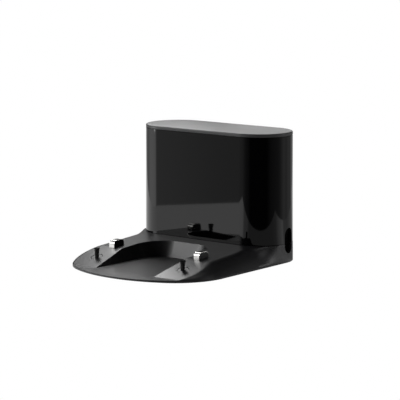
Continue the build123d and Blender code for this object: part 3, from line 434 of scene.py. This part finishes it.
def crown(y):
    """Height of the base along its middle, with a soft crest and a soft foot of the ramp."""
    lip = (LIP_BACK_Z - LIP_Z) / (RAMP_FOOT_Y - FRONT_Y)
    ramp = (CREST_Z - LIP_BACK_Z) / (CREST_Y - RAMP_FOOT_Y)
    level = (JUNCTION_Z - CREST_Z) / (TOWER_FRONT - CREST_Y)
    height = LIP_Z + lip * (y - FRONT_Y)
    bends = ((RAMP_FOOT_Y, ramp - lip), (CREST_Y, level - ramp), (TOWER_FRONT, -level))
    for bend_y, change in bends:
        past = min(max((y - bend_y + BEND_SOFT) / (2 * BEND_SOFT), 0), 1)
        height += change * (max(y - bend_y, 0) if past in (0, 1) else BEND_SOFT * past * past)
    return height


def outline_half(y):
    """Half width of the base's outline at y."""
    if y >= CORNER_Y:
        return WIDTH / 2
    if y >= ARC_Y - FRONT_RADIUS * math.cos(TANGENT_ANGLE):
        return CORNER_X + math.sqrt(CORNER_RADIUS**2 - (CORNER_Y - y) ** 2)
    return math.sqrt(max(FRONT_RADIUS**2 - (ARC_Y - y) ** 2, 0))


def flank_width(y):
    """Width of the soft slope beside the deck."""
    if y <= CREST_Y:
        narrow = min(FLANK_LEAST, outline_half(y) / 2)
        part = (crown(y) - LIP_Z) / (CREST_Z - LIP_Z)
        return max(FLANK_WIDTH * part, narrow)
    part = min(max((y - TOWER_FRONT + FLARE_START) / (FLARE_START + FLARE_END), 0), 1)
    return FLANK_WIDTH + (FLANK_END - FLANK_WIDTH) * part * part * (3 - 2 * part)


def deck_rows():
    """Places along Y where the deck's cross-section is set, closer where it bends."""
    rows = [CORNER_Y, -15 * MM, 0, TOWER_Y]
    for step in range(FRONT_STEPS):
        rows.append(ARC_Y - FRONT_RADIUS * math.cos(TANGENT_ANGLE * step / FRONT_STEPS))
    for step in range(CORNER_STEPS):
        angle = TANGENT_ANGLE + (math.pi / 2 - TANGENT_ANGLE) * step / CORNER_STEPS
        rows.append(CORNER_Y - CORNER_RADIUS * math.cos(angle))
    for step in range(-BEND_STEPS, BEND_STEPS + 1):
        rows += [bend + BEND_SOFT * step / BEND_STEPS for bend in (RAMP_FOOT_Y, CREST_Y)]
    for step in range(FLARE_STEPS + 1):
        rows.append(TOWER_FRONT - FLARE_START + (FLARE_START + FLARE_END) * step / FLARE_STEPS)
    rows.sort()
    return [rows[0]] + [b for a, b in zip(rows, rows[1:]) if b - a > ROW_GAP]


def deck_solid(name, inset, bottom):
    """Deck with its ramp and soft flanks, inset from its skin, closed down to the bottom."""
    rows = deck_rows()
    if inset:
        start = HOLLOW_FRONT - (SKIN - inset)
        rows = [start] + [y for y in rows if y > start + MM]
    columns = 2 * FLANK_STEPS + 1
    piece = begin(
        name,
        bpy.ops.mesh.primitive_grid_add,
        x_subdivisions=columns,
        y_subdivisions=len(rows) - 1,
        size=2,
    )
    for vertex in piece.data.vertices:
        column = round((vertex.co.x + 1) / 2 * columns)
        y = rows[round((vertex.co.y + 1) / 2 * (len(rows) - 1))]
        side = 1 if column > FLANK_STEPS else -1
        up = min(column, columns - column) / FLANK_STEPS
        half = outline_half(y) - inset
        foot = LIP_Z - inset
        z = foot + (crown(y) - inset - foot) * (1 - (1 - up) ** 2)
        vertex.co = (side * max(half - flank_width(y) * up, 0), y, z)
    select_in_mesh(piece, "vertices", lambda vertex: True)
    bpy.ops.mesh.remove_doubles(threshold=MM / 200)
    bpy.ops.mesh.select_all(action="DESELECT")
    bpy.ops.mesh.select_non_manifold()
    bpy.ops.mesh.extrude_edges_move()
    bpy.ops.transform.resize(value=(1, 1, 0), center_override=(0, 0, bottom))
    bpy.ops.mesh.edge_face_add()
    bpy.ops.mesh.select_all(action="SELECT")
    bpy.ops.mesh.normals_make_consistent(inside=False)
    settle(piece)
    return piece


def bay_solid(name, grow, bottom):
    """Space of the bay, or the walls around it, wider to the top."""
    middle = BAY_BACK - BAY_CORNER
    piece = begin(
        name,
        bpy.ops.mesh.primitive_cone_add,
        vertices=BAY_SIDES,
        radius1=BAY_CORNER + grow,
        radius2=BAY_CORNER + grow + (BAY_TOP - BAY_FLOOR_Z) * BAY_LEAN,
        depth=BAY_TOP - BAY_FLOOR_Z,
        location=(0, middle, (BAY_TOP + BAY_FLOOR_Z) / 2),
    )
    settle(piece)
    for side in (-1, 1):
        way = (side * (BAY_HALF - BAY_CORNER), 0, 0)
        move_vertices(piece, lambda vertex: vertex.co.x * side > HAIR, way)
    move_vertices(piece, lambda vertex: vertex.co.y < middle - HAIR, (0, FRONT_Y - middle, 0))
    if bottom < BAY_FLOOR_Z:
        select_in_mesh(piece, "faces", lambda face: face.normal.z < -0.9)
        bpy.ops.mesh.extrude_region_move()
        bpy.ops.transform.translate(value=(0, 0, bottom - BAY_FLOOR_Z))
        settle(piece)
    return piece


def outlet_solid(name):
    """Bar with the rounded outline of the two cable outlets, through both ends of the tower."""
    piece = begin(
        name,
        bpy.ops.mesh.primitive_cylinder_add,
        vertices=ROUND_SIDES,
        radius=OUTLET_WIDTH / 2,
        depth=1.4 * WIDTH,
        location=(0, OUTLET_Y, OUTLET_Z),
        rotation=(0, math.pi / 2, 0),
    )
    settle(piece)
    for side in (-1, 1):
        way = (0, 0, side * (OUTLET_HEIGHT - OUTLET_WIDTH) / 2)
        move_vertices(piece, lambda vertex: (vertex.co.z - OUTLET_Z) * side > HAIR, way)
    return piece


def window_solid(name):
    """Opening in the flat back of the tower, which the rear panel closes."""
    low = (-WINDOW_HALF, TOWER_Y, WINDOW_BOTTOM)
    return block(name, low, (WINDOW_HALF, TOWER_Y + WINDOW_DEPTH, WINDOW_TOP))


def joined_copy(name, node):
    """Copy of a CAD piece with its loose triangles joined into one skin."""
    piece = bpy.data.objects.new(name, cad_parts[node].data.copy())
    piece.data.materials.clear()
    bpy.context.scene.collection.objects.link(piece)
    use_alone(piece)
    if piece.data.has_custom_normals:
        bpy.ops.mesh.customdata_custom_splitnormals_clear()
    bpy.ops.object.mode_set(mode="EDIT")
    bpy.ops.mesh.select_all(action="SELECT")
    bpy.ops.mesh.remove_doubles(threshold=MM / 1000)
    bpy.ops.mesh.dissolve_limited(angle_limit=FLAT_ANGLE, delimit=set())
    bpy.ops.object.mode_set(mode="OBJECT")
    return piece


def inside_of_base(name, inset):
    """Space under the base's skin, clear of the bay's walls."""
    space = deck_solid(name, inset, -CUT_PAST)
    combine(space, oval("space_foot", inset, -CUT_PAST, JUNCTION_Z - inset), "UNION")
    combine(space, bay_solid("bay_walls", inset, -CUT_PAST - MM), "DIFFERENCE")
    return space


base = deck_solid("base", 0, BASE_BOTTOM)
combine(base, oval("foot", 0, BASE_BOTTOM, JUNCTION_Z - HAIR), "UNION")
combine(base, inside_of_base("space", SKIN), "DIFFERENCE")
combine(base, bay_solid("bay", 0, BAY_FLOOR_Z), "DIFFERENCE")
groove = oval("groove", BASE_WALL, JUNCTION_Z - TONGUE_DEPTH, JUNCTION_Z + 2 * MM)
tongue_front = TOWER_FRONT + BASE_WALL + DECK_LEDGE
front = block("front", (-WIDTH, TOWER_FRONT - MM, 0), (WIDTH, tongue_front, CUT_TOP))
combine(groove, front, "DIFFERENCE")
combine(base, groove, "DIFFERENCE")
combine(base, outlet_solid("outlets"), "DIFFERENCE")
combine(base, window_solid("window"), "DIFFERENCE")
for side in (-1, 1):
    x = side * CONTACT_X
    slot = block(
        "slot",
        (x - SLOT_HALF_X, CONTACT_Y - SLOT_HALF_Y, -CUT_PAST),
        (x + SLOT_HALF_X, CONTACT_Y + SLOT_HALF_Y, CUT_TOP),
    )
    combine(base, slot, "DIFFERENCE")
    brush_x = side * BRUSH_X
    hole = round_bar("hole", brush_x, BRUSH_Y, -CUT_PAST, CUT_TOP, HOLDER_HOLE, ROUND_SIDES)
    combine(base, hole, "DIFFERENCE")
    pocket = round_bar("pocket", side * FOOT_X, FOOT_Y, -CUT_PAST, FOOT_POCKET_Z, FOOT_POCKET)
    combine(base, pocket, "DIFFERENCE")


EDGE_ANGLE = math.radians(30)


def finish_edges(piece, width):
    """Round the sharp edges a little, as a mould leaves them, and smooth the rest."""
    select_in_mesh(piece, "vertices", lambda vertex: True)
    bpy.ops.mesh.remove_doubles(threshold=MM / 500)
    bpy.ops.mesh.dissolve_limited(angle_limit=FLAT_ANGLE, delimit=set())
    bpy.ops.object.mode_set(mode="OBJECT")
    apply_modifier(
        piece,
        "BEVEL",
        width=width,
        segments=2,
        limit_method="ANGLE",
        angle_limit=EDGE_ANGLE,
        use_clamp_overlap=True,
        miter_outer="MITER_ARC",
    )
    use_alone(piece)
    bpy.ops.object.shade_smooth_by_angle(angle=EDGE_ANGLE)
    apply_modifier(piece, "WEIGHTED_NORMAL", keep_sharp=True)


def noise_node(tree, place, scale, detail):
    """Fine irregular pattern over a place."""
    noise = tree.nodes.new("ShaderNodeTexNoise")
    noise.inputs["Scale"].default_value = scale
    noise.inputs["Detail"].default_value = detail
    tree.links.new(place, noise.inputs["Vector"])
    return noise.outputs["Fac"]


def vary_finish(tree, pattern, colour, tones, roughnesses):
    """Let a pattern take a finish between two tones of its colour and two roughnesses."""
    shader = tree.nodes["Principled BSDF"]
    rough = tree.nodes.new("ShaderNodeMapRange")
    rough.inputs["To Min"].default_value, rough.inputs["To Max"].default_value = roughnesses
    tree.links.new(pattern, rough.inputs["Value"])
    tree.links.new(rough.outputs["Result"], shader.inputs["Roughness"])
    ramp = tree.nodes.new("ShaderNodeValToRGB")
    for stop, tone in zip(ramp.color_ramp.elements, tones):
        stop.color = [channel * tone for channel in colour] + [1]
    tree.links.new(pattern, ramp.inputs["Fac"])
    tree.links.new(ramp.outputs["Color"], shader.inputs["Base Color"])


def add_grain(tree, pattern, depth):
    """Let a pattern stand out of a finish as its grain."""
    bump = tree.nodes.new("ShaderNodeBump")
    bump.inputs["Strength"].default_value = 1.0
    bump.inputs["Distance"].default_value = depth
    tree.links.new(pattern, bump.inputs["Height"])
    tree.links.new(bump.outputs["Normal"], tree.nodes["Principled BSDF"].inputs["Normal"])


def plastic(name, colour, roughness, grain, depth, colour_spread=0.15, roughness_spread=0.05):
    """Moulded plastic: even colour with faint clouds, and the grain of its mould as bump."""
    material = bpy.data.materials.new(name)
    material.use_nodes = True
    tree = material.node_tree
    place = tree.nodes.new("ShaderNodeTexCoord").outputs["Object"]
    tones = (1 - colour_spread, 1 + colour_spread)
    roughnesses = (roughness - roughness_spread, roughness + roughness_spread)
    vary_finish(tree, noise_node(tree, place, 60, 4), colour, tones, roughnesses)
    add_grain(tree, noise_node(tree, place, 1 / grain, 2), depth)
    return material


finish_edges(base, 0.25 * MM)
base_inside = joined_copy("base_inside", "base_moulding")
combine(base_inside, inside_of_base("space", SKIN - OVERLAP), "INTERSECT")
lowest = BASE_BOTTOM + OVERLAP / 5
trim = block("trim", (-WIDTH, -WIDTH, -CUT_PAST), (WIDTH, WIDTH, lowest))
combine(base_inside, trim, "DIFFERENCE")
add_to(base, base_inside)
satin_black = plastic("satin_black", (0.012, 0.012, 0.013), 0.36, 0.35 * MM, 0.004 * MM, 0.15, 0.03)
base.data.materials.append(satin_black)
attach(base, "dock")
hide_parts("base_moulding")


# Tower shell: one polished black wall all round, moulded as a tube and pushed down over a tongue
# on the base. Its front is dead upright, and long screws from below hold the bosses in its ends.
SHELL_BOTTOM = 15.35 * MM
SHELL_TOP = 96.95 * MM
SHELL_FRONT = 25.1 * MM
HEIGHT = 99.8 * MM

shell = oval("shell", 0, SHELL_BOTTOM, SHELL_TOP)
shell_core = oval("shell_core", SKIN, SHELL_BOTTOM - CUT_PAST, SHELL_TOP + CUT_PAST)


def level_of(vertex):
    """Height of a vertex in hundredths of a millimetre, to find those on one level."""
    return round(vertex.co.z / HAIR)


for wall, front_y in ((shell, SHELL_FRONT), (shell_core, SHELL_FRONT + SKIN)):
    fronts = {}
    for vertex in wall.data.vertices:
        level = level_of(vertex)
        fronts[level] = min(fronts.get(level, TOWER_Y), vertex.co.y)
    for vertex in wall.data.vertices:
        if vertex.co.y < TOWER_Y:
            upright = (TOWER_Y - front_y) / (TOWER_Y - fronts[level_of(vertex)])
            vertex.co.y = TOWER_Y - (TOWER_Y - vertex.co.y) * upright
combine(shell, shell_core, "DIFFERENCE")
combine(shell, outlet_solid("outlets"), "DIFFERENCE")
combine(shell, window_solid("window"), "DIFFERENCE")
finish_edges(shell, 0.2 * MM)
shell_inside = joined_copy("shell_inside", "tower_shell")
combine(shell_inside, oval("space", SKIN - OVERLAP, 0, HEIGHT), "INTERSECT")
add_to(shell, shell_inside)
gloss_black = plastic(
    "gloss_black", (0.001, 0.001, 0.0012), 0.04, 9 * MM, 0.002 * MM, roughness_spread=0.01
)
shell.data.materials.append(gloss_black)
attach(shell, "dock")
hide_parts("tower_shell")


# Top cap: matte black lid with a rounded rim, and a skirt that snaps into the shell.
# A thin dark seam is left between its rim and the shell's upper edge.
CAP_BOTTOM = 97.3 * MM
CAP_ROUND = 0.8 * MM

cap = oval("cap", 0, CAP_BOTTOM, HEIGHT)
cap_ends = cap.data.vertices
select_in_mesh(
    cap, "edges", lambda edge: all(cap_ends[index].co.z > HEIGHT - HAIR for index in edge.vertices)
)
bpy.ops.mesh.bevel(offset=CAP_ROUND, segments=6, profile=0.5)
bpy.ops.object.mode_set(mode="OBJECT")
finish_edges(cap, 0.12 * MM)
cap_inside = joined_copy("cap_inside", "top_cap")
combine(cap_inside, oval("space", SKIN, 0, CAP_BOTTOM + OVERLAP), "INTERSECT")
add_to(cap, cap_inside)
matte_black = plastic("matte_black", (0.035, 0.035, 0.036), 0.40, 0.5 * MM, 0.01 * MM, 0.15, 0.03)
cap.data.materials.append(matte_black)
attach(cap, "dock")
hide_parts("top_cap")


# Charging contacts: a nickel-plated strip of spring bronze, bent down over a black carrier.
# Each pair slides in a sleeve of the base and is pressed down by the robot.
CONTACT_HALF_X = 2.45 * MM
CONTACT_HALF_Y = 5.75 * MM
CONTACT_TOP = 17.1 * MM
CONTACT_ROUND = 3.2 * MM
STRIP_THICKNESS = 0.4 * MM
FLANGE_BOTTOM = 7.1 * MM
FLANGE_TOP = 8.5 * MM
FLANGE_REACH = 0.8 * MM
SPRING_BORE = 3.7 * MM
CARRIER_GAP = 0.05 * MM


def contact_block(name, side, inset, side_inset, bottom):
    """Upright block with two rounded upper corners, as a contact is seen from the side."""
    half_x = CONTACT_HALF_X - side_inset
    half_y = CONTACT_HALF_Y - inset
    x = side * CONTACT_X
    top = CONTACT_TOP - inset
    low = (x - half_x, CONTACT_Y - half_y, bottom)
    piece = block(name, low, (x + half_x, CONTACT_Y + half_y, top))

    def upper_end_edge(edge):
        ends = [piece.data.vertices[index].co for index in edge.vertices]
        high = all(end.z > top - HAIR for end in ends)
        return high and abs(ends[0].y - ends[1].y) < HAIR

    select_in_mesh(piece, "edges", upper_end_edge)
    bpy.ops.mesh.bevel(offset=CONTACT_ROUND - inset, segments=14, profile=0.5)
    settle(piece)
    return piece


def metal(name, colour, roughness, stretch):
    """Bare or plated metal with a fine drawn or rolled grain along its short stretch."""
    material = bpy.data.materials.new(name)
    material.use_nodes = True
    tree = material.node_tree
    tree.nodes["Principled BSDF"].inputs["Metallic"].default_value = 1.0
    along = tree.nodes.new("ShaderNodeMapping")
    along.inputs["Scale"].default_value = stretch
    place = tree.nodes.new("ShaderNodeTexCoord").outputs["Object"]
    tree.links.new(place, along.inputs["Vector"])
    grain = noise_node(tree, along.outputs["Vector"], 900, 3)
    vary_finish(tree, grain, colour, (0.92, 1.0), (roughness * 0.7, roughness * 1.3))
    add_grain(tree, grain, 0.001 * MM)
    return material


carrier_black = plastic("carrier_black", (0.006, 0.006, 0.006), 0.32, 0.4 * MM, 0.004 * MM)
bright_nickel = metal("bright_nickel", (0.86, 0.85, 0.83), 0.16, (1, 12, 1))
for side, word in ((-1, "left"), (1, "right")):
    x = side * CONTACT_X
    carrier = contact_block("carrier_" + word, side, STRIP_THICKNESS, CARRIER_GAP, FLANGE_BOTTOM)
    flange_half_y = CONTACT_HALF_Y + FLANGE_REACH
    flange = block(
        "flange",
        (x - CONTACT_HALF_X, CONTACT_Y - flange_half_y, FLANGE_BOTTOM),
        (x + CONTACT_HALF_X, CONTACT_Y + flange_half_y, FLANGE_TOP),
    )
    combine(carrier, flange, "UNION")
    bore = round_bar("bore", x, CONTACT_Y, 0, HEIGHT, SPRING_BORE / 2)
    combine(carrier, bore, "DIFFERENCE")
    finish_edges(carrier, 0.12 * MM)
    carrier.data.materials.append(carrier_black)
    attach(carrier, "contact_" + word)
    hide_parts("contact_carrier_" + word)

    strip = contact_block("strip_" + word, side, 0, 0, FLANGE_TOP)
    under = contact_block("under", side, STRIP_THICKNESS, -MM, 0)
    combine(strip, under, "DIFFERENCE")
    finish_edges(strip, 0.1 * MM)
    strip.data.materials.append(bright_nickel)
    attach(strip, "contact_" + word)
    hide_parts("contact_strip_" + word)


# Brushes: a flared tuft of black nylon bristles in front of each contact, which wipes the robot's
# own contacts. It is glued in the hole of a round holder, which is pressed into the ramp.
HOLDER_RADIUS = 4.0 * MM
HOLDER_BOTTOM = 2.6 * MM
HOLDER_SUNK = 0.15 * MM
ROOT_GAP = 0.02 * MM
BRUSH_ROOT_Z = 3.4 * MM
BRUSH_TOP = 13.75 * MM
BRUSH_FOOT_RADIUS = 1.45 * MM
BRUSH_WAIST_RADIUS = 1.7 * MM
BRUSH_TIP_RADIUS = 2.4 * MM
BRUSH_FOOT_Z = 6.5 * MM
BRUSH_WAIST_Z = 10.2 * MM
CORE_INSET = 0.2 * MM
CORE_DROP = 0.9 * MM
BRISTLES = 210
BRISTLE_RADIUS = 0.13 * MM
BRISTLE_LEVELS = (0, 0.45, 0.75, 1)
BRISTLE_TAPER = 0.35
UNEVEN_TIPS = 0.45 * MM
UNEVEN_TURN = 0.25
UNEVEN_LEAN = 0.06
GOLDEN_TURN = math.pi * (3 - math.sqrt(5))
RAMP_SLOPE = (CREST_Z - LIP_BACK_Z) / (CREST_Y - RAMP_FOOT_Y)


def tuft_radius(z):
    """Radius of a tuft at a height."""
    if z < BRUSH_WAIST_Z:
        part = max(z - BRUSH_FOOT_Z, 0) / (BRUSH_WAIST_Z - BRUSH_FOOT_Z)
        return BRUSH_FOOT_RADIUS + (BRUSH_WAIST_RADIUS - BRUSH_FOOT_RADIUS) * part
    part = (z - BRUSH_WAIST_Z) / (BRUSH_TOP - BRUSH_WAIST_Z)
    return BRUSH_WAIST_RADIUS + (BRUSH_TIP_RADIUS - BRUSH_WAIST_RADIUS) * part


def tapered_rod(name, radius, sides, levels):
    """Upright rod on the origin with a ring of vertices at each level."""
    piece = round_bar(name, 0, 0, levels[0], levels[1], radius, sides)
    for low, high in zip(levels[1:], levels[2:]):
        select_in_mesh(piece, "faces", lambda face: face.normal.z > 0.9)
        bpy.ops.mesh.extrude_region_move(TRANSFORM_OT_translate={"value": (0, 0, high - low)})
        bpy.ops.object.mode_set(mode="OBJECT")
    return piece


def make_tuft(name, side):
    """Tuft of bristles around a core that fills the gaps between them."""
    core_levels = (BRUSH_ROOT_Z, BRUSH_FOOT_Z, BRUSH_WAIST_Z, BRUSH_TOP - CORE_DROP)
    tuft = tapered_rod(name, 1, 24, core_levels)
    for vertex in tuft.data.vertices:
        radius = tuft_radius(vertex.co.z) - CORE_INSET
        vertex.co.x, vertex.co.y = vertex.co.x * radius, vertex.co.y * radius
    pattern = tapered_rod("bristle", BRISTLE_RADIUS, 5, BRISTLE_LEVELS)
    bristles = []
    for number in range(BRISTLES):
        share = math.sqrt((number + 0.5) / BRISTLES)
        around = number * GOLDEN_TURN + draws.uniform(-UNEVEN_TURN, UNEVEN_TURN)
        top = BRUSH_TOP - draws.uniform(0, UNEVEN_TIPS) * (1 if share > 0.5 else 0.6)
        lean = draws.uniform(-UNEVEN_LEAN, UNEVEN_LEAN)
        bristle = bpy.data.objects.new("bristle", pattern.data.copy())
        bpy.context.scene.collection.objects.link(bristle)
        for vertex in bristle.data.vertices:
            z = BRUSH_ROOT_Z + vertex.co.z * (top - BRUSH_ROOT_Z)
            outwards = share * (tuft_radius(z) - BRISTLE_RADIUS)
            turn = around + lean * vertex.co.z
            thin = 1 - BRISTLE_TAPER * vertex.co.z
            vertex.co.x = vertex.co.x * thin + outwards * math.cos(turn)
            vertex.co.y = vertex.co.y * thin + outwards * math.sin(turn)
            vertex.co.z = z
        bristles.append(bristle)
    bpy.data.objects.remove(pattern)
    bpy.ops.object.select_all(action="DESELECT")
    for bristle in bristles:
        bristle.select_set(True)
    tuft.select_set(True)
    bpy.context.view_layer.objects.active = tuft
    bpy.ops.object.join()
    tuft.location = (side * BRUSH_X, BRUSH_Y, 0)
    settle(tuft)
    bpy.ops.object.shade_smooth_by_angle(angle=math.radians(50))
    return tuft


def make_holder(name, side):
    """Round holder with its top parallel to the ramp and a softened rim."""
    x = side * BRUSH_X
    ramp_z = LIP_BACK_Z + RAMP_SLOPE * (BRUSH_Y - RAMP_FOOT_Y)
    top = ramp_z + 3 * MM
    holder = round_bar(name, x, BRUSH_Y, HOLDER_BOTTOM, top, HOLDER_RADIUS, ROUND_SIDES)
    select_in_mesh(holder, "vertices", lambda vertex: True)
    bpy.ops.mesh.bisect(
        plane_co=(x, BRUSH_Y, ramp_z - HOLDER_SUNK),
        plane_no=(0, -RAMP_SLOPE, 1),
        use_fill=True,
        clear_outer=True,
    )
    settle(holder)
    hole = round_bar("hole", x, BRUSH_Y, BRUSH_ROOT_Z, HEIGHT, BRUSH_FOOT_RADIUS + ROOT_GAP)
    combine(holder, hole, "DIFFERENCE")
    finish_edges(holder, 0.12 * MM)
    return holder


draws = random.Random(7)
holder_black = plastic("holder_black", (0.01, 0.01, 0.01), 0.3, 0.4 * MM, 0.004 * MM)
bristle_black = plastic("bristle_black", (0.003, 0.003, 0.003), 0.4, 0.3 * MM, 0.002 * MM, 0.4)
for side, word in ((-1, "left"), (1, "right")):
    holder = make_holder("holder_" + word, side)
    holder.data.materials.append(holder_black)
    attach(holder, "dock")
    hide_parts("brush_holder_" + word)
    tuft = make_tuft("tuft_" + word, side)
    tuft.data.materials.append(bristle_black)
    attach(tuft, "dock")
    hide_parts("brush_tuft_" + word)


# Bottom cover, rear panel with its cable compartment, and power inlet: matte black mouldings.
# Screws hold the cover and the panel, and the inlet stands against the compartment's wall.
def softened(name, node, width, material):
    """Copy of a CAD moulding with softened edges, which takes its place."""
    piece = joined_copy(name, node)
    finish_edges(piece, width)
    piece.data.materials.append(material)
    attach(piece, "dock")
    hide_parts(node)


cover_black = plastic("cover_black", (0.012, 0.012, 0.0125), 0.5, 0.6 * MM, 0.02 * MM)
housing_black = plastic("housing_black", (0.012, 0.012, 0.0125), 0.42, 0.5 * MM, 0.012 * MM)
inlet_black = plastic("inlet_black", (0.008, 0.008, 0.008), 0.3, 0.4 * MM, 0.004 * MM)
softened("cover", "bottom_cover", 0.2 * MM, cover_black)
softened("panel", "rear_housing", 0.25 * MM, housing_black)
softened("inlet", "inlet_housing", 0.2 * MM, inlet_black)


# Rubber feet, screws and steel weight: they stand under the dock, hold it together and keep it
# from being pushed away. The feet are glued in, the screws are zinc plated, the weight is bare.
def dress(nodes, material):
    """Give CAD pieces that stay as they are their material."""
    for node in nodes:
        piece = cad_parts[node]
        piece.data.materials.clear()
        piece.data.materials.append(material)


foot_grey = plastic("foot_grey", (0.035, 0.035, 0.035), 0.7, 0.5 * MM, 0.03 * MM, 0.2, 0.08)
zinc = metal("zinc", (0.6, 0.6, 0.6), 0.32, (1, 1, 1))
mill_scale = metal("mill_scale", (0.12, 0.12, 0.125), 0.55, (1, 1, 1))
dress(["rubber_feet"], foot_grey)
dress(["cover_screws", "shell_screws", "housing_screws", "board_screws", "beacon_screws"], zinc)
dress(["steel_weight"], mill_scale)


# Power supply: a board with solder mask that stands on the rear panel's pillars, and its parts.
# A wound transformer, capacitors, fuse, choke and a cooled transistor make 20 volts of the mains.
board_green = plastic("board_green", (0.012, 0.09, 0.035), 0.35, 1.2 * MM, 0.02 * MM, 0.3)
tape_yellow = plastic("tape_yellow", (0.62, 0.45, 0.05), 0.3, 1.5 * MM, 0.015 * MM, 0.12)
ferrite_grey = plastic("ferrite_grey", (0.035, 0.035, 0.038), 0.55, 0.25 * MM, 0.03 * MM, 0.5)
sleeve_blue = plastic("sleeve_blue", (0.012, 0.02, 0.06), 0.22, 4 * MM, 0.02 * MM, 0.1)
ceramic_white = plastic("ceramic_white", (0.72, 0.7, 0.64), 0.18, 2 * MM, 0.01 * MM, 0.05)
header_cream = plastic("header_cream", (0.7, 0.67, 0.56), 0.45, 0.8 * MM, 0.015 * MM, 0.06)
compound_black = plastic("compound_black", (0.014, 0.014, 0.014), 0.6, 0.12 * MM, 0.01 * MM, 0.4)
mill_aluminium = metal("mill_aluminium", (0.78, 0.79, 0.8), 0.34, (1, 1, 0.05))
dress(["power_board", "beacon_board"], board_green)
dress(["transformer_bobbin"], tape_yellow)
dress(["transformer_core", "mains_choke"], ferrite_grey)
dress(["mains_capacitor", "output_capacitors"], sleeve_blue)
dress(["fuse"], ceramic_white)
dress(["board_headers"], header_cream)
dress(["power_transistor"], compound_black)
dress(["heat_sink"], mill_aluminium)


# Beacon: three infrared emitters of dark clear epoxy in a black shade, under the cap.
# They shine through the tower's wall, and the robot finds the dock by them.
emitter_dark = plastic("emitter_dark", (0.02, 0.025, 0.07), 0.08, 3 * MM, 0.002 * MM, 0.1, 0.02)
emitter_dark.node_tree.nodes["Principled BSDF"].inputs["Coat Weight"].default_value = 0.6
shade_black = plastic("shade_black", (0.01, 0.01, 0.01), 0.6, 0.4 * MM, 0.015 * MM)
dress(["beacon_emitters"], emitter_dark)
dress(["emitter_shade"], shade_black)


# Inside of a contact and the wiring: a coil spring on a plated terminal, closed by a plate,
# and soldered leads with red insulation that end in the board's headers.
# The spring stands on its terminal and gets a mesh of its own.
drawn_wire = metal("drawn_wire", (0.62, 0.62, 0.62), 0.25, (1, 1, 8))
lead_red = plastic("lead_red", (0.28, 0.012, 0.012), 0.38, 1.5 * MM, 0.01 * MM, 0.1)
pin_nickel = metal("pin_nickel", (0.8, 0.78, 0.74), 0.2, (1, 0.1, 1))
for word in ("left", "right"):
    dress(["contact_spring_" + word], drawn_wire)
    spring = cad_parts["contact_spring_" + word]
    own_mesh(spring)
    dress(["contact_terminal_" + word], bright_nickel)
    dress(["guide_retainer_" + word], carrier_black)
    dress(["contact_lead_" + word], lead_red)
dress(["inlet_leads"], lead_red)
dress(["inlet_pins"], pin_nickel)
